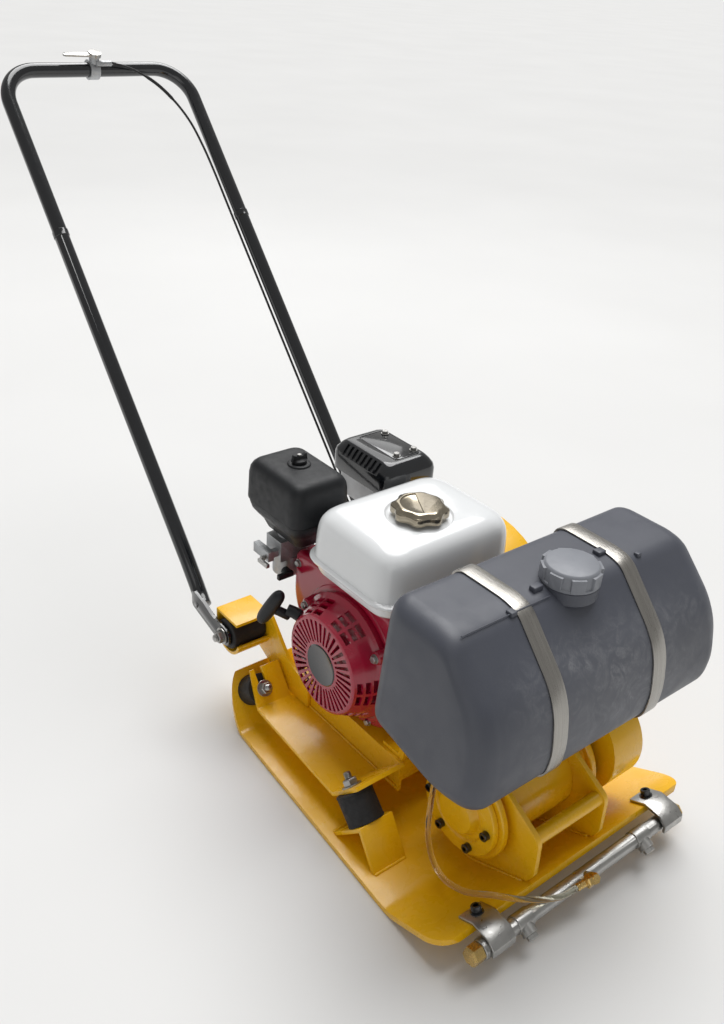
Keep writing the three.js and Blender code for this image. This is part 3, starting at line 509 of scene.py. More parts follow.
# ---- fasteners and weld beads ----
def hex_head(at, axis, width, height):
    r = width / math.sqrt(3)
    return lathe([(0, 0), (r * 0.93, 0), (r, 0.4), (r, height * 0.82), (r * 0.86, height), (0, height)],
        axis, at, 6)


def washer(at, axis, radius, thickness):
    c = 0.3
    return lathe([(0, 0), (radius - c, 0), (radius, c), (radius, thickness - c), (radius - c, thickness),
                  (0, thickness)], axis, at, 36)


def stud(at, axis, radius, length, pitch=1.5):
    count = max(2, int(length / pitch))
    profile = [(0, 0)]
    for k in range(count):
        profile += [(radius * 0.86, k * pitch), (radius, (k + 0.5) * pitch)]
    end = count * pitch
    profile += [(radius * 0.86, end), (radius * 0.6, end + 0.8), (0, end + 0.8)]
    return lathe(profile, axis, at, 20)


def nut_stack(at, axis, width, length=9.0, radius=None):
    """Washer, nut and the end of its stud, standing on a face."""
    at, axis = Vector(at), Vector(axis).normalized()
    radius = radius or width * 0.3
    return [
        washer(at, axis, width * 0.78, 2.0),
        hex_head(at + axis * 2.0, axis, width, width * 0.48),
        stud(at + axis * (2.0 + width * 0.48), axis, radius, length),
    ]


def bolt(at, axis, width, flange=True):
    at, axis = Vector(at), Vector(axis).normalized()
    parts = [washer(at, axis, width * 0.72, 1.2)] if flange else []
    return [*parts, hex_head(at + axis * (1.2 if flange else 0), axis, width, width * 0.45)]


def socket_screw(at, axis, radius, height):
    at, axis = Vector(at), Vector(axis).normalized()
    c = radius * 0.12
    head = lathe([(0, 0), (radius, 0), (radius, height - c), (radius - c, height), (0, height)], axis, at, 28)
    key = lathe([(0, 0), (radius * 0.55, 0), (radius * 0.55, height), (0, height)], axis,
        at + axis * height * 0.45, 6)
    return cut(head, key)


def bead(points, radius=3.2):
    """A weld bead along a line: overlapping ripples of uneven size."""
    path = []
    for a, b in zip(points, points[1:]):
        a, b = Vector(a), Vector(b)
        count = max(2, int((b - a).length / 1.3))
        path += [a.lerp(b, k / count) for k in range(count)]
    path.append(Vector(points[-1]))

    def ripple(i, angle):
        end = min(1.0, 0.45 + 0.3 * min(i, len(path) - 1 - i))
        return end * (0.86 + 0.12 * math.sin(i * 1.9) + 0.22 * noise.noise(path[i] * 0.11))

    return sweep(path, radius, 10, ripple)


# ---- base ----
PLATE_THICKNESS = 9
CREASE_FRONT, CREASE_REAR = -190, 215
LIP_ANGLE, TAIL_ANGLE = math.radians(25), math.radians(52)
LIP_LENGTH, TAIL_LENGTH = 119, 96


def fold(path, thickness, radius=14, steps=8):
    """A folded sheet's outline: path is its inner line, thickness lies to the left of it."""
    line = [Vector(path[0])]
    for before, at, after in zip(path, path[1:], path[2:]):
        at = Vector(at)
        back, on = Vector(before) - at, Vector(after) - at
        ease = min(radius, back.length / 2.02, on.length / 2.02)
        enter, leave = at + back.normalized() * ease, at + on.normalized() * ease
        for k in range(steps + 1):
            t = k / steps
            line.append((1 - t) ** 2 * enter + 2 * t * (1 - t) * at + t * t * leave)
    line.append(Vector(path[-1]))
    outer = []
    for i, at in enumerate(line):
        along = (line[min(i + 1, len(line) - 1)] - line[max(i - 1, 0)]).normalized()
        outer.append(at + Vector((-along.y, along.x)) * thickness)
    return line + outer[::-1]


def base_plate():
    tip = (CREASE_FRONT - LIP_LENGTH * math.cos(LIP_ANGLE), LIP_LENGTH * math.sin(LIP_ANGLE))
    tail = (CREASE_REAR + TAIL_LENGTH * math.cos(TAIL_ANGLE), TAIL_LENGTH * math.sin(TAIL_ANGLE))
    sheet = prism("x", fold([tip, (CREASE_FRONT, 0), (CREASE_REAR, 0), tail], PLATE_THICKNESS), -260, 260)
    outline = rounded([(-246, tip[0] - 2, 45), (246, tip[0] - 2, 45), (209, tail[0] + 2, 60),
        (-209, tail[0] + 2, 60)],
                      steps=14)
    piece("sole_plate", common(sheet, prism("z", outline, -5, 130)), "yellow_paint", "base_plate", bevel=1.4)


def mount_seats():
    for name, side in SIDES:
        piece(f"mount_seat_front_{name}", cad(f"front_mount_seat_{name}"), "yellow_paint",
              f"front_mount_seat_{name}", bevel=1.2)
        inner, outer = sorted((side * 160, side * 216))
        piece(f"mount_seat_weld_{name}", merged([
            bead([(inner, -40, 10), (outer, -40, 10)], 2.6),
            bead([(inner, -134, 10), (outer, -134, 10)], 2.6),
        ]), "yellow_paint", body="base", smooth=60)


MOUNTS = {
    "front": {"x": 190, "y": -80, "z": 50, "radius": 27, "length": 46, "tilt": math.radians(45), "way": 1},
    "rear": {"x": 170, "y": 243.6, "z": 51.3, "radius": 25, "length": 40, "tilt": math.radians(52),
    "way": -1},
}


def mount_line(end, side):
    m = MOUNTS[end]
    axis = Vector((0, m["way"] * math.sin(m["tilt"]), math.cos(m["tilt"])))
    return Vector((side * m["x"], m["y"], m["z"])), axis


def rubber_mounts():
    for end, m in MOUNTS.items():
        for name, side in SIDES:
            at, axis = mount_line(end, side)
            r, last = m["radius"], m["length"] - 0.3
            profile = [(0, 0.3), (r - 0.6, 0.3), (r, 0.8), (r, 3.0), (r - 0.6, 3.4)]
            for k in range(13):
                t = k / 12
                profile.append((r - 0.5, 4 + (last - 8) * t))
            profile += [(r - 0.6, last - 3.4), (r, last - 3.0), (r, last - 0.6), (r - 0.6, last), (0, last)]
            node_name = f"rubber_mount_{end}_{name}"
            piece(f"{node_name}_block", lathe(profile, axis, at, 56), "black_rubber", node_name)
            top = at + axis * (m["length"] + 6.2)
            width = 19 if end == "front" else 17
            piece(f"{node_name}_nut", merged(nut_stack(top, axis, width, 10)), "zinc_plate", body="deck")


EXCITER_Y, EXCITER_Z, EXCITER_LEFT, EXCITER_RIGHT = -176, 108, -104, 82
HOUSING_RADIUS, FLANGE_RADIUS, COVER_RADIUS, SCREW_CIRCLE = 62, 74, 66, 53
RIB_LEFT, RIB_RIGHT = -83, 48


def exciter():
    at = (0, EXCITER_Y, EXCITER_Z)
    left, right = EXCITER_LEFT, EXCITER_RIGHT
    profile = [
        (50, left), (FLANGE_RADIUS - 1.5, left), (FLANGE_RADIUS, left + 1.5), (FLANGE_RADIUS, left + 8.5),
        (FLANGE_RADIUS - 1.5, left + 10), (HOUSING_RADIUS + 3, left + 10), (HOUSING_RADIUS, left + 13),
        (HOUSING_RADIUS, right - 13), (HOUSING_RADIUS + 3, right - 10), (FLANGE_RADIUS - 1.5, right - 10),
        (FLANGE_RADIUS, right - 8.5), (FLANGE_RADIUS, right - 1.5), (FLANGE_RADIUS - 1.5, right), (50, right),
    ]
    housing = lathe(profile, X_AXIS, at, 96)
    feet = [cut(box(x, x + 8, EXCITER_Y + 4, EXCITER_Y + 60, 9.3, 80),
                rod((x - 2, EXCITER_Y, EXCITER_Z), (x + 10, EXCITER_Y, EXCITER_Z), 61.5, 96))
            for x in (left + 30, right - 50)]
    piece("exciter_drum", join(housing, *feet), "yellow_paint", "exciter_housing", smooth=32)
    for name, side, face in (("left", -1, left - 0.3), ("right", 1, right + 0.3)):
        hole = [(0, 0), (COVER_RADIUS - 1.2, 0)] if side < 0 else [(17, 0), (COVER_RADIUS - 1.2, 0)]
        rise, hub = (10, 17) if side < 0 else (10, 13)
        cover = [*hole, (COVER_RADIUS, 1.2), (COVER_RADIUS, 7.6), (COVER_RADIUS - 1.4, 9), (46, 9),
            (43, rise - 3.5),
                 (36, rise - 3.5), (33.5, rise), (31, hub - 1.5), (29.5, hub), (hole[0][0], hub)]
        piece(f"exciter_cover_{name}_plate", lathe(cover, X_AXIS * side, (face, EXCITER_Y, EXCITER_Z), 96),
              "yellow_paint", f"exciter_cover_{name}", smooth=32)
        screws = []
        for k in range(6):
            angle = math.radians(60 * k)
            spot = (face + side * 9, EXCITER_Y + SCREW_CIRCLE * math.cos(angle),
                EXCITER_Z + SCREW_CIRCLE * math.sin(angle))
            screws.append(socket_screw(spot, X_AXIS * side, 6.6, 8))
        piece(f"exciter_screws_{name}", merged(screws), "black_paint", body="base", smooth=30)
        piece(f"exciter_bearing_{name}_race", cad(f"exciter_bearing_{name}"), "machined_steel",
              f"exciter_bearing_{name}", bevel=0.6)
    carried(
        ("eccentric_rotor", "eccentric_shaft", "machined_steel", 0.6),
        ("exciter_vee_pulley", "exciter_pulley", "machined_steel", 0.5),
    )


def brace_ribs():
    piece("brace_ribs_welded", cad("brace_ribs"), "yellow_paint", "brace_ribs", bevel=1.6, segments=3,
        bevel_angle=40)
    welds = []
    lip = math.tan(LIP_ANGLE)
    for x in (RIB_LEFT, RIB_RIGHT):
        for side in (-1, 1):
            edge = x + side * 5
            foot = [(edge, y, 11.3 + (CREASE_FRONT - y) * lip) for y in (-280, -200)]
            welds.append(bead([*foot, (edge, -186, 11), (edge, -154, 11)], 2.4))
    piece("brace_rib_weld", merged(welds), "yellow_paint", body="base", smooth=60)


PIPE_Y, PIPE_Z, PIPE_RADIUS = -317, 42, 11
PIPE_ENDS = {-1: -200, 1: 181}
BRACKETS = {"left": -174, "right": 170}
SPRAY_TEES = (-126, 112)


BARB_X = -8
BRACKET_SCREW_ALONG = 108


def barb_point(out):
    return Vector((BARB_X, PIPE_Y - 0.8 * out, PIPE_Z + 0.6 * out))


def spray_bar():
    pipe = [rod((PIPE_ENDS[-1], PIPE_Y, PIPE_Z), (PIPE_ENDS[1], PIPE_Y, PIPE_Z), PIPE_RADIUS, 48)]
    sockets, plugs, nozzles = [], [], []
    for x in SPRAY_TEES:
        pipe.append(rod((x - 14, PIPE_Y, PIPE_Z), (x + 14, PIPE_Y, PIPE_Z), PIPE_RADIUS + 1.6, 48, 0.6))
        pipe.append(rod((x, PIPE_Y, PIPE_Z), (x, PIPE_Y - 18, PIPE_Z - 8), 11, 36, 0.6))
        way = Vector((0, -18, -8)).normalized()
        nozzles += bolt(Vector((x, PIPE_Y, PIPE_Z)) + way * 19.9, way, 14, False)
    pipe.append(rod((BARB_X, PIPE_Y, PIPE_Z), barb_point(12.5), 8, 32))
    piece("spray_pipe_tube", join(*pipe), "zinc_plate", "spray_pipe", bevel=0.4, smooth=30)
    for side in (-1, 1):
        way = X_AXIS * side
        end = Vector((PIPE_ENDS[side], PIPE_Y, PIPE_Z))
        sockets.append(rod(end - way * 14, end + way * 1, PIPE_RADIUS + 2.4, 40, 0.8))
        sockets += [rod(end - way * (3 + 3 * k), end - way * (2 + 3 * k), PIPE_RADIUS + 2.9,
            40) for k in range(3)]
        plugs.append(hex_head(end + way * 1.2, way, 23, 18))
    piece("spray_pipe_collars", join(*sockets[:4]), "zinc_plate", body="base")
    piece("spray_pipe_collars_far", join(*sockets[4:]), "zinc_plate", body="base")
    piece("spray_pipe_plugs", merged(plugs), "brass_fitting", body="base", smooth=20)
    piece("spray_nozzles", merged(nozzles), "zinc_plate", body="base", smooth=20)
    along, lift = BRACKET_SCREW_ALONG, 13.3
    foot = (CREASE_FRONT - along * math.cos(LIP_ANGLE) - lift * -math.sin(LIP_ANGLE),
            along * math.sin(LIP_ANGLE) + lift * math.cos(LIP_ANGLE))
    up = Vector((0, math.sin(LIP_ANGLE), math.cos(LIP_ANGLE)))
    for name, side in SIDES:
        piece(f"spray_bracket_{name}_clip", cad(f"spray_bracket_{name}"), "zinc_plate",
            f"spray_bracket_{name}",
              bevel=0.9, smooth=50)
        spot = Vector((BRACKETS[name], foot[0], foot[1]))
        parts = [washer(spot, up, 9.5, 1.5), socket_screw(spot + up * 1.5, up, 7.2, 8.5)]
        piece(f"spray_bracket_{name}_screw", merged(parts), "black_paint", body="base", smooth=30)


def hose_fitting():
    start, way = barb_point(12.8), Vector((0, -0.8, 0.6))
    elbow, out = barb_point(20), Vector((-1, 0.1, -0.02)).normalized()
    base = hex_head(start, way, 14, 14.2)
    ribs = [(0, 0), (7, 0), (7, 12), (6.4, 13)]
    for k in range(3):
        ribs += [(4.6, 14 + 5 * k), (5.5, 17 + 5 * k)]
    ribs += [(4.4, 30), (0, 30)]
    ferrule = hex_head(elbow + out * 5, out, 15.5, 8)
    piece("hose_barb_elbow", join(base, lathe(ribs, out, elbow, 32), ferrule), "brass_fitting", "hose_barb",
        smooth=25)


# ---- deck ----
def deck():
    piece("deck_channel", cad("deck_frame"), "yellow_paint", "deck_frame", bevel=1.5, segments=3,
        bevel_angle=30)
    piece("tank_cradle_arms", cad("tank_cradle"), "yellow_paint", "tank_cradle", bevel=1.2, segments=3)
    beads = []
    for _, side in SIDES:
        x = side * 122.5
        beads.append(bead([(x, -60, 61.5), (x, 198, 61.5)], 2.2))
        beads.append(bead([(side * 100, -58, 109), (side * 118, -58, 109)], 2.4))
    piece("deck_weld", merged(beads), "yellow_paint", body="deck", smooth=60)
    bolts = [part for x in (-56, 56) for y in (-8, 156) for part in bolt((x, y, 120.6), Z_AXIS, 14)]
    piece("engine_hold_down_bolts", merged(bolts), "zinc_plate", body="deck", smooth=25)


PIVOT_Y, PIVOT_Z = 290, 142


def handle_brackets():
    for name, side in SIDES:
        piece(f"handle_bracket_{name}_plate", cad(f"handle_bracket_{name}"), "yellow_paint",
            f"handle_bracket_{name}",
              bevel=1.3, segments=3, bevel_angle=30, smooth=45)
        way, at = X_AXIS * side, (0, PIVOT_Y, PIVOT_Z)
        bush = [(6.4, 129), (23.5, 129), (25, 131), (25.5, 135), (25, 141)]
        bush += [(24.4, 146), (24.4, 176), (25.5, 182), (25, 187), (23, 189), (18, 189), (17, 187), (12, 187),
                 (11, 189), (6.4, 189)]
        piece(f"handle_bush_{name}_rubber", lathe(bush, way, at, 64), "black_rubber", f"handle_bush_{name}",
            smooth=30)
        pin = [(0, 116), (9, 116), (10, 117), (10, 120.4), (6, 121), (6, 196.2), (0, 196.2)]
        parts = [lathe(pin, way, at, 40), *nut_stack(Vector(at) + way * 196.4, way, 18, 5, 6)]
        piece(f"handle_bolt_{name}_nut", merged(parts), "zinc_plate", f"handle_bolt_{name}", smooth=25)


# ---- engine ----
CRANK_Y, CRANK_Z = 71, 214


def engine_block():
    block = cad("crankcase")
    piece("crankcase_casting", block, "cast_alloy", "crankcase", bevel=2.2, segments=3, bevel_angle=30)
    ribs = [box(-58, 60, 161 + 2 * abs(k), 168, 150 + 9 * k, 153 + 9 * k) for k in range(-2, 5)]
    piece("crankcase_ribs", merged(ribs), "cast_alloy", body="deck", bevel=0.8)
    piece("cylinder_head_fins", cad("cylinder_head"), "cast_alloy", "cylinder_head", bevel=1.0)
    filler = [(0, 0), (13, 0), (14, 1), (14, 8), (12.5, 10), (6, 10.5), (6, 17), (0, 17)]
    for name, side in SIDES:
        at = (side * 38, 163, 140)
        piece(f"oil_filler_{name}", lathe(filler, (0, 0.86, 0.5), at, 10), "black_plastic", body="deck",
            bevel=0.8)
    drains = [*bolt((-30, 152, 126), (0, 1, 0.1), 13), *bolt((46, 152, 126), (0, 1, 0.1), 13)]
    piece("oil_drain_bolts", merged(drains), "zinc_plate", body="deck", smooth=25)
    carried(
        ("crank_journal", "crankshaft", "machined_steel", 0.5),
        ("flywheel_fins", "flywheel_fan", "cast_alloy", 0.8),
        ("clutch_drum_vee", "clutch_drum", "machined_steel", 0.6),
        ("drive_belt_vee", "drive_belt", "black_rubber", 0.6),
    )


def shroud_outline(inset, steps):
    i = inset
    return rounded([
        (-36 + i, 150 + i, 40), (4 + i, 113 + i, 30), (138 - i, 113 + i, 30), (178 - i, 165 + i, 30),
        (214 - i, 232 + i, 20), (214 - i, 318 - i, 14), (150, 324 - i, 10), (-22 + i, 324 - i, 16),
        (-36 + i, 276, 30),
    ], steps=steps)


def fan_shroud():
    rings = []
    for inset, x in ((0, -73), (0, -106), (0.9, -110.5), (3.2, -114.2), (6.6, -116.4), (10, -117)):
        rings.append([(x, y, z) for y, z in shroud_outline(inset, 12)])
    skin = loft(rings)
    hollow = prism("x", shroud_outline(3.2, 12), -113.5, -60)
    mouth = rod((-125, CRANK_Y, CRANK_Z), (-108, CRANK_Y, CRANK_Z), 84, 96)
    shell = cut(skin, hollow, mouth)
    rib = lathe([(99, -118.5), (104, -118.5), (105.5, -117), (105.5, -112), (99, -112)], X_AXIS,
        (0, CRANK_Y, CRANK_Z), 96)
    piece("fan_shroud_shell", join(shell, common(rib, prism("x", shroud_outline(5, 12), -125, -100))),
        "red_paint",
          "fan_shroud", smooth=30)
    spots = [(200, 300), (-20, 262), (192, 216), (16, 124)]
    screws = [part for y, z in spots for part in bolt((-117 + 0.2, y, z), -X_AXIS, 9)]
    piece("fan_shroud_bolts", merged(screws), "zinc_plate", body="deck", smooth=25)


RECOIL_FACE, RADIAL_SLOTS = -167, 38
BOSS_ANGLES = (28, 148, 268)
SLOT_GROUPS = (64, 112, 184, 232, 304, 352)


def recoil_cover():
    at = (0, CRANK_Y, CRANK_Z)
    outer = [(70, -167), (73, -166.6), (75.2, -165.2), (76.2, -163), (82.5, -151), (84.5, -147), (87.6, -136),
             (89.5, -132), (93.5, -128.5), (96, -126), (96, -117.3)]
    inner = [(93, -117.3), (93, -125), (86.5, -130), (84.5, -136), (80, -149), (72.5, -161), (69, -163.8)]
    shell = lathe([(0, -167), *outer, *inner, (0, -163.8)], X_AXIS, at, 144)
    slots = []
    for k in range(RADIAL_SLOTS):
        angle = 2 * math.pi * k / RADIAL_SLOTS
        inner_r = 38 if k % 2 else 36
        slot = prism("x", rounded([(inner_r, -1.7), (69.5, -2.9), (69.5, 2.9), (inner_r, 1.7)], 1.2, 3),
            -172, -160)
        slots.append(turned_by(slot, Matrix.Translation(Vector(at) * MM) @ Matrix.Rotation(angle, 4, "X")))
    for group in SLOT_GROUPS:
        for column in (-1, 1):
            for low, high, near, far in ((-161.5, -154, 70, 90), (-150.5, -143, 73, 94),
                (-139.5, -132, 78, 97)):
                wide = 0.113 * (near + far) / 2
                slot = prism("x", rounded([(near, -wide), (far, -wide), (far, wide), (near, wide)], 1.0, 3),
                    low, high)
                angle = math.radians(group + 8.25 * column)
                slots.append(turned_by(slot, Matrix.Translation(Vector(at) * MM) @ Matrix.Rotation(angle, 4,
                    "X")))
    bosses, bolts = [], []
    for angle in BOSS_ANGLES:
        a = math.radians(angle)
        spot = Vector((-118, CRANK_Y + 94 * math.cos(a), CRANK_Z + 94 * math.sin(a)))
        bosses.append(lathe([(0, -18), (7.5, -18), (9.5, -16), (11.5, 0.5), (0, 0.5)], X_AXIS, spot, 40))
        bolts += bolt(spot - X_AXIS * 18, -X_AXIS, 10)
    piece("recoil_cover_louvred", join(cut(shell, *slots), *bosses), "red_paint", "recoil_cover", smooth=32)
    piece("recoil_bolts", merged(bolts), "zinc_plate", body="deck", smooth=25)
    badge = [(0, -1.5), (31, -1.5), (32, -0.8), (32, 0.2), (30.5, 1.2), (29.5, 0.8), (0, 0.8)]
    piece("recoil_badge_blank", lathe(badge, -X_AXIS, (RECOIL_FACE, CRANK_Y, CRANK_Z), 72), "black_paint",
        body="deck")
    guide = sweep(curve([(-150, 148, 247), (-154, 156, 250), (-160, 165, 252)], 4), 9, 24)
    piece("recoil_rope_guide", guide, "black_plastic", body="deck")


GRIP_CENTRE = Vector((-181, 179, 257))
GRIP_PULL = Vector((-0.70, 0.54, 0.46)).normalized()
GRIP_BAR = Vector((0.21, -0.43, 0.87)).normalized()


def recoil_grip():
    profile = [(0, -37)]
    for k in range(25):
        t = -1 + k / 12
        r = 11 * (1 - 0.16 * t * t) * math.sqrt(max(0.0, 1 - abs(t) ** 7))
        profile.append((max(r, 0.4), 36.6 * t))
    profile.append((0, 37))
    grip = lathe(profile, GRIP_BAR, GRIP_CENTRE, 36)
    stem = lathe([(0, 0), (6, 0), (7.2, 1.2), (7.2, 18), (7.6, 24), (9.6, 32), (0, 32)], GRIP_PULL,
                 GRIP_CENTRE - GRIP_PULL * 32, 32)
    piece("recoil_grip_handle", join(grip, stem), "black_plastic", "recoil_grip", smooth=50)


def belt_guard():
    piece("belt_guard_shell", cad("belt_guard"), "yellow_paint", "belt_guard", bevel=4.5, segments=4,
        bevel_angle=50)
    spots = [(71, 345), (-60, 300), (190, 240), (-150, 190)]
    bolts = [part for y, z in spots for part in bolt((162.2, y, z), X_AXIS, 13)]
    piece("belt_guard_bolts", merged(bolts), "black_paint", body="deck", smooth=25)


FUEL_LEFT, FUEL_RIGHT, FUEL_FRONT, FUEL_REAR = -150, 99, -38, 155
CAP_X, CAP_Y, CAP_Z = -30, 44, 435


def fuel_ring(z, inset, radius):
    corners = plan(FUEL_LEFT + inset, FUEL_RIGHT - inset, FUEL_FRONT + inset, FUEL_REAR - inset, radius, 12)
    return [(x, y, z) for x, y in corners]


def fuel_tank():
    steps = [(331, 22, 26), (332, 16, 30), (334.5, 12.5, 33), (339, 10.6, 34), (352.6, 10, 34),
        (353, 2.5, 40),
             (353.8, 0.8, 41.5), (355.8, 0, 42), (358, 0.8, 41.5), (359, 2.5, 40), (360.5, 5.5, 40),
             (363, 6, 40),
             (385, 6.4, 40), (400, 7.4, 40), (409, 9.0, 39), (416, 11.5, 38), (422, 15.5, 37),
             (427, 21.5, 35),
             (430.4, 30, 32), (432.6, 42, 27), (433.6, 58, 22)]
    rings = [fuel_ring(*step) for step in steps]
    tank = loft(rings)
    dish = lathe([(0, 0), (42, 0), (46, 0.6), (52, 6), (0, 6)], Z_AXIS, (CAP_X, CAP_Y, 430.6), 96)
    neck = rod((CAP_X, CAP_Y, 424), (CAP_X, CAP_Y, 435), 24, 64, 1.0)
    piece("fuel_tank_shell", join(cut(tank, dish), neck), "white_paint", "fuel_tank", smooth=30)


def lobed(count, radius, depth, z, steps=8):
    out = []
    for k in range(count * steps):
        angle = 2 * math.pi * k / (count * steps)
        r = radius - depth * (0.5 - 0.5 * math.cos(count * angle))
        out.append((CAP_X + r * math.cos(angle), CAP_Y + r * math.sin(angle), z))
    return out


def fuel_cap():
    low = CAP_Z + 0.6
    levels = [(0, 41, 5), (1.0, 41, 5), (9.2, 41, 5), (10.4, 40.3, 4.8), (11.2, 38.6, 4.4), (12.2, 37.2, 3.6),
              (14.6, 34.4, 2.6), (15.7, 32.4, 1.8), (16.0, 29.8, 1.0)]
    cap = loft([lobed(8, r, d, low + h) for h, r, d in levels])
    cap = cut(cap, rod((CAP_X, CAP_Y, low - 2), (CAP_X, CAP_Y, CAP_Z + 5), 24.6, 64))
    step = turned_by(box(-44, 44, 0.8, 44, 14.0, 22), Matrix.Translation(Vector((CAP_X, CAP_Y, low)) * MM)
                     @ Matrix.Rotation(math.radians(62), 4, "Z"))
    keep = rod((CAP_X, CAP_Y, low + 10), (CAP_X, CAP_Y, low + 22), 28, 64)
    piece("fuel_cap_lobed", cut(cap, common(step, keep)), "nickel_plate", "fuel_cap", bevel=0.35, smooth=40)


AIR_LEFT, AIR_RIGHT, AIR_FRONT, AIR_REAR = -157, -57, 157, 291
AIR_BOTTOM, AIR_SEAM, AIR_TOP = 338, 386, 451
KNOB_X, KNOB_Y = -104, 226


def air_ring(z, inset, radius):
    return [(x, y, z) for x, y in plan(AIR_LEFT + inset, AIR_RIGHT - inset, AIR_FRONT + inset,
        AIR_REAR - inset, radius, 10)]


def air_cleaner():
    steps = [(AIR_BOTTOM, 30, 8), (AIR_BOTTOM + 2, 24, 12), (AIR_BOTTOM + 16, 18, 14),
        (AIR_BOTTOM + 26, 10, 16),
             (AIR_BOTTOM + 33, 5, 18), (AIR_SEAM - 5, 2.2, 19), (AIR_SEAM - 1.2, 1.8, 19),
             (AIR_SEAM - 0.3, 3, 18)]
    piece("air_cleaner_tray", loft([air_ring(*s) for s in steps]), "black_plastic", "air_cleaner_base",
        smooth=40)
    steps = [(AIR_SEAM, 1.4, 20), (AIR_SEAM + 0.8, 0.2, 20), (AIR_SEAM + 3, 0, 20), (AIR_TOP - 22, 1.0, 20),
             (AIR_TOP - 13, 2.4, 20), (AIR_TOP - 7, 5.4, 19), (AIR_TOP - 3, 9.5, 17),
             (AIR_TOP - 0.9, 14.5, 15),
             (AIR_TOP - 0.2, 20, 12), (AIR_TOP, 26, 10)]
    shell = loft([air_ring(*s) for s in steps])
    boss = lathe([(0, -6), (22, -6), (21, -0.2), (17.5, 0.4), (17, 2.2), (16, 3), (11.5, 3), (11, 2.2),
        (0, 2.2)],
                 Z_AXIS, (KNOB_X, KNOB_Y, AIR_TOP), 64)
    piece("air_cleaner_lid", join(shell, boss), "black_plastic", "air_cleaner_cover", smooth=40)
    wing = rounded([(-13, 3, 1), (-11, 14.5, 3), (-4, 10, 3), (4, 10, 3), (11, 14.5, 3), (13, 3, 1)], steps=6)
    blade = turned_by(prism("y", wing, -2.6, 2.6), Matrix.Translation(Vector((KNOB_X, KNOB_Y,
        AIR_TOP + 3.4)) * MM))
    disc = lathe([(0, 0), (10.4, 0), (11, 0.6), (11, 4), (10, 5), (0, 6)], Z_AXIS,
        (KNOB_X, KNOB_Y, AIR_TOP + 3.4), 40)
    piece("air_cleaner_wing_knob", join(disc, blade), "black_plastic", "air_cleaner_knob", bevel=0.7,
        smooth=45)
    tip = [*bolt((KNOB_X, KNOB_Y, AIR_TOP + 13.6), Z_AXIS, 6, False)]
    piece("air_cleaner_stud", merged(tip), "zinc_plate", body="air_cleaner_knob", smooth=25)


def carburettor():
    carried(
        ("carburettor_body", "carburettor", "cast_alloy", 1.4),
        ("choke_lever_blade", "choke_lever", "zinc_plate", 0.8),
        ("fuel_valve_lever_tap", "fuel_valve_lever", "black_plastic", 0.8),
    )


MUFFLER_LEFT, MUFFLER_RIGHT, MUFFLER_FRONT, MUFFLER_REAR, MUFFLER_TOP = 12, 116, 163, 300, 436


def muffler_ring(z, inset, radius):
    corners = plan(MUFFLER_LEFT + inset, MUFFLER_RIGHT - inset, MUFFLER_FRONT + inset, MUFFLER_REAR - inset,
        radius, 8)
    return [(x, y, z) for x, y in corners]


def muffler():
    piece("muffler_can", cad("muffler"), "machined_steel", "muffler", bevel=3, segments=3)
    top = MUFFLER_TOP
    steps = [(top - 48, 0, 18), (top - 22, 0, 18), (top - 14, 2, 17), (top - 7, 7, 16), (top - 3, 11, 15),
             (top - 0.8, 14, 14), (top, 18, 12)]
    shell = loft([muffler_ring(*s) for s in steps])
    hollow = loft([muffler_ring(top - 60, 3, 15), muffler_ring(top - 22, 3, 15),
        muffler_ring(top - 12, 10, 12)])
    louvres = []
    for k in range(8):
        y = MUFFLER_FRONT + 26 + 11 * k
        louvres.append(turned_by(box(-4, 15, y, y + 5.4, -3.4, 3.4),
                                 Matrix.Translation(Vector((MUFFLER_LEFT + 1, 0, top - 14)) * MM)
                                 @ Matrix.Rotation(math.radians(-48), 4, "Y")))
    panel = plan(MUFFLER_LEFT + 34, MUFFLER_RIGHT - 16, MUFFLER_FRONT + 20, MUFFLER_REAR - 22, 12, 8)
    groove = cut(prism("z", panel, top - 1.0, top + 4),
                 prism("z", [(64 + (x - 64) * 0.94, 230 + (y - 230) * 0.96) for x, y in panel], top - 3,
                     top + 6))
    piece("muffler_guard_louvred", cut(shell, hollow, *louvres, groove), "black_paint", "muffler_guard",
          bevel=0.5, smooth=35)
    spots = [(MUFFLER_RIGHT - 24, MUFFLER_REAR - 34), (MUFFLER_RIGHT - 24, MUFFLER_FRONT + 34),
             (MUFFLER_LEFT + 44, MUFFLER_FRONT + 32)]
    bolts = [part for x, y in spots for part in bolt((x, y, top + 0.1), Z_AXIS, 9)]
    piece("muffler_guard_bolts", merged(bolts), "zinc_plate", body="deck", smooth=25)


# ---- water tank ----
TANK_HALF, TANK_FLARE, STRAP_WIDTH = 219, 12, 25
STRAPS = (("left", -97), ("right", 89))
WATER_CAP_X, WATER_CAP_Y = -7, -203


def flared(x, z):
    return x * (1 + TANK_FLARE / TANK_HALF * min(1.0, max(0.0, (457 - z) / 157)))


def tank_section(inset, steps=10):
    i = inset
    return rounded([
        (-106 - i, 457 - i, 22), (-104 - i, 292, 40), (-112 - i, 270 + i, 22), (-232, 246 + i, 30),
        (-292 + i, 256 + i, 34), (-299 + i, 300, 40), (-288 + i, 372, 60), (-214, 452 - i, 60),
        (-190, 457 - i, 10),
    ], steps=steps)


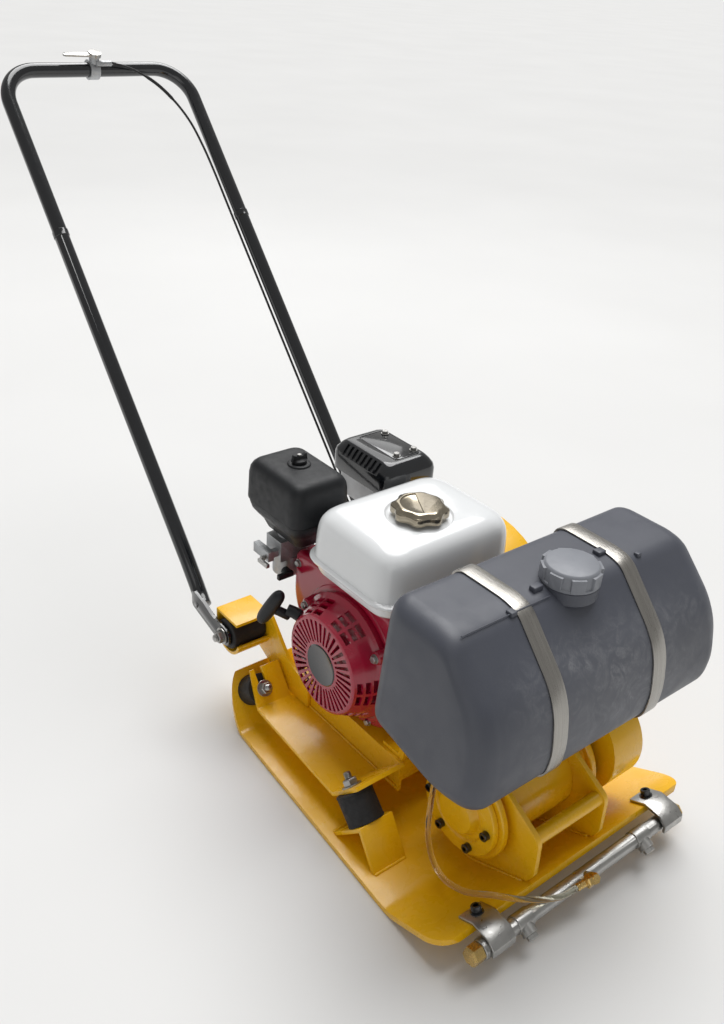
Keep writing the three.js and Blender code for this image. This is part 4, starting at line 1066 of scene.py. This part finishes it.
def water_tank():
    ease, rings = 30, []
    for side in (-1, 1):
        turns = [math.radians(a) for a in (90, 78, 66, 54, 43, 32, 22, 12, 5, 0)]
        for a in turns if side < 0 else turns[::-1]:
            x = side * (TANK_HALF - ease * (1 - math.sin(a)))
            inset = 24 * (1 - math.cos(a))
            rings.append([(flared(x, z), y, z) for y, z in tank_section(inset)])
    body = loft(rings)
    neck = rod((WATER_CAP_X, WATER_CAP_Y, 440), (WATER_CAP_X, WATER_CAP_Y, 461), 26, 64, 0.6)
    collar = rod((WATER_CAP_X, WATER_CAP_Y, 440), (WATER_CAP_X, WATER_CAP_Y, 457.3), 37, 72, 0.8)
    piece("water_tank_moulded", join(body, neck, collar), "grey_tank_plastic", "water_tank", smooth=30)
    seam_path = [(x, -212, 452.2 + 1.6) for x in range(-196, -44, 8)]
    nubs = [box(-120, -110, -216, -205, 450, 456.5), box(-66, -50, -200, -190, 454, 462),
        box(64, 78, -190, -178, 454, 462),
            box(113, 121, -214, -206, 450, 456)]
    piece("water_tank_nubs", merged(nubs), "grey_tank_plastic", body="deck", bevel=1.6, segments=3)
    piece("water_tank_seam", sweep(seam_path, 0.9, 8), "grey_tank_plastic", body="deck")


def water_cap():
    at = (WATER_CAP_X, WATER_CAP_Y, 458)
    skirt = [(0, 0), (37.1, 0), (37.5, 0.5), (37.5, 3), (36.7, 3.6), (35.4, 4), (34.8, 19), (34, 20.6),
        (32.4, 22.4),
             (31, 23), (0, 22.6)]
    body = lathe(skirt, Z_AXIS, at, 96)
    teeth = []
    for k in range(8):
        angle = math.radians(45 * k + 10)
        tooth = loft([[(r, w, z) for r, w in rounded([(28, -9.0), (37.4, -9.0), (37.4, 9.0), (28, 9.0)],
            1.4, 4)]
                      for z in (2, 19.4)])
        cap_place = Matrix.Translation(Vector(at) * MM) @ Matrix.Rotation(angle, 4, "Z")
        teeth.append(turned_by(tooth, cap_place))
    well = rod((WATER_CAP_X, WATER_CAP_Y, 450), (WATER_CAP_X, WATER_CAP_Y, 463), 26.6, 64)
    piece("water_cap_castellated", cut(join(body, *teeth), well), "grey_cap_plastic", "water_cap",
        bevel=0.5, smooth=35)


def tank_straps():
    for name, x in STRAPS:
        outer = prism("x", tank_section(-2.4), x - STRAP_WIDTH / 2, x + STRAP_WIDTH / 2)
        inner = prism("x", tank_section(-0.35), x - 40, x + 40)
        band = cut(outer, inner, box(x - 40, x + 40, -178, -90, 200, 275))
        piece(f"tank_strap_{name}_band", band, "stainless_strap", f"tank_strap_{name}", bevel=0.3, smooth=30)


def tank_outlet():
    parts = [rod((-130, -158, 258.7), (-130, -158, 240), 9, 6),
        rod((-130, -158, 240), (-130, -158, 232.4), 4.4, 24)]
    piece("tank_outlet_fitting", join(*parts), "brass_fitting", "tank_outlet", bevel=0.4, smooth=30)


# ---- handle ----
HANDLE_X, HANDLE_RADIUS, TOP_Y, TOP_Z, FOOT_Y, FOOT_Z, HANDLE_BEND, JOINT_DROP = 181, 12.7, 1046, 880, 373, 153, 65, 310
HANDLE_SLOPE = Vector((0, TOP_Y - FOOT_Y, TOP_Z - FOOT_Z)).normalized()


def on_leg(side, drop):
    return Vector((side * HANDLE_X, TOP_Y, TOP_Z)) - HANDLE_SLOPE * drop


def handle():
    for name, side in SIDES:
        x = side * HANDLE_X
        path = curve([on_leg(side, JOINT_DROP + 0.3), on_leg(side, 600), on_leg(side, 910), (x, 386, 163),
                      (x + side * 4, 366, 152)], 10)
        collar = rod(on_leg(side, JOINT_DROP + 0.3), on_leg(side, JOINT_DROP + 12), HANDLE_RADIUS + 1.1, 40,
            0.7)
        eye = rounded([
            (386, 176, 8), (386, 146, 8), (352, 137, 10), (318, 128, 8), (PIVOT_Y + 4, PIVOT_Z - 18, 10),
            (PIVOT_Y - 18, PIVOT_Z - 12, 10), (PIVOT_Y - 18, PIVOT_Z + 13, 10),
            (PIVOT_Y + 6, PIVOT_Z + 18, 12),
            (322, 158, 14), (350, 170, 12),
        ], steps=8)
        plate = prism("x", eye, *sorted((side * 189.5, side * 195.5)))
        hole = rod((side * 185, PIVOT_Y, PIVOT_Z), (side * 205, PIVOT_Y, PIVOT_Z), 6.4, 32)
        leg = cut(join(sweep(path, HANDLE_RADIUS, 40), collar, plate), hole)
        piece(f"handle_leg_{name}_tube", leg, "black_paint", f"handle_leg_{name}", bevel=0.5, smooth=35)
    corners = {}
    for side in (-1, 1):
        arc = []
        for k in range(13):
            a = math.radians(90 * (k + 0.5) / 13)
            across_x = HANDLE_X - HANDLE_BEND * (1 - math.sin(a))
            point = Vector((side * across_x, TOP_Y, TOP_Z))
            arc.append(point - HANDLE_SLOPE * HANDLE_BEND * (1 - math.cos(a)))
        corners[side] = arc
    path = [on_leg(-1, JOINT_DROP), on_leg(-1, 200), on_leg(-1, HANDLE_BEND + 4), *corners[-1][::-1],
            Vector((-60, TOP_Y, TOP_Z)), Vector((60, TOP_Y, TOP_Z)), *corners[1], on_leg(1, HANDLE_BEND + 4),
            on_leg(1, 200), on_leg(1, JOINT_DROP)]
    piece("handle_crossbar_tube", sweep(curve(path, 3), HANDLE_RADIUS, 40), "black_paint",
        "handle_crossbar", smooth=50)


def throttle():
    carried(
        ("throttle_clamp_body", "throttle_clamp", "cast_alloy", 0.7),
        ("throttle_lever_blade", "throttle_lever", "zinc_plate", 0.8),
    )


# ---- floor and light ----
FLOOR_HALF, WORLD_STRENGTH = 60, 0.35


def studio():
    material = bpy.data.materials.new("pale_floor")
    material.use_nodes = True
    tree = material.node_tree
    shader = tree.nodes["Principled BSDF"]
    tone = ranged(tree, noise_of(tree, 1.2, 3.0), 0.0, 1.0)
    tree.links.new(mixed(tree, tone, (0.655, 0.655, 0.65), (0.68, 0.68, 0.675)), shader.inputs["Base Color"])
    shader.inputs["Roughness"].default_value = 0.75
    half = FLOOR_HALF
    mesh = bpy.data.meshes.new("floor")
    mesh.from_pydata([(-half, -half, 0), (half, -half, 0), (half, half, 0), (-half, half, 0)], [],
        [(0, 1, 2, 3)])
    mesh.materials.append(material)
    floor = bpy.data.objects.new("floor", mesh)
    floor.location.z = CAD_BOX[0][2] - 0.0005
    bpy.context.collection.objects.link(floor)
    world = bpy.data.worlds.new("studio")
    bpy.context.scene.world = world
    world.use_nodes = True
    background = world.node_tree.nodes["Background"]
    background.inputs["Color"].default_value = (1.0, 0.99, 0.97, 1)
    background.inputs["Strength"].default_value = WORLD_STRENGTH
    for name, kind, at, angle_or_size, power in (
        ("overhead", "SUN", (0.9, 0.8, 3.0), math.radians(50), 3.0),
        ("fill", "AREA", (-2.6, -2.4, 1.4), 2.4, 10),
        ("back", "AREA", (1.6, 2.6, 2.4), 1.8, 14),
    ):
        light = bpy.data.lights.new(name, kind)
        light.energy = power
        if kind == "SUN":
            light.angle = angle_or_size
        else:
            light.shape, light.size = "SQUARE", angle_or_size
        lamp = bpy.data.objects.new(name, light)
        lamp.location = at
        lamp.rotation_euler = (Vector((0, 0, 0.3)) - Vector(at)).to_track_quat("-Z", "Y").to_euler()
        bpy.context.collection.objects.link(lamp)
    bpy.context.scene.view_settings.view_transform = "Standard"


base_plate()
mount_seats()
rubber_mounts()
exciter()
brace_ribs()
spray_bar()
hose_fitting()
deck()
handle_brackets()
engine_block()
fan_shroud()
recoil_cover()
recoil_grip()
belt_guard()
fuel_tank()
fuel_cap()
air_cleaner()
carburettor()
muffler()
water_tank()
water_cap()
tank_straps()
tank_outlet()
handle()
throttle()
studio()
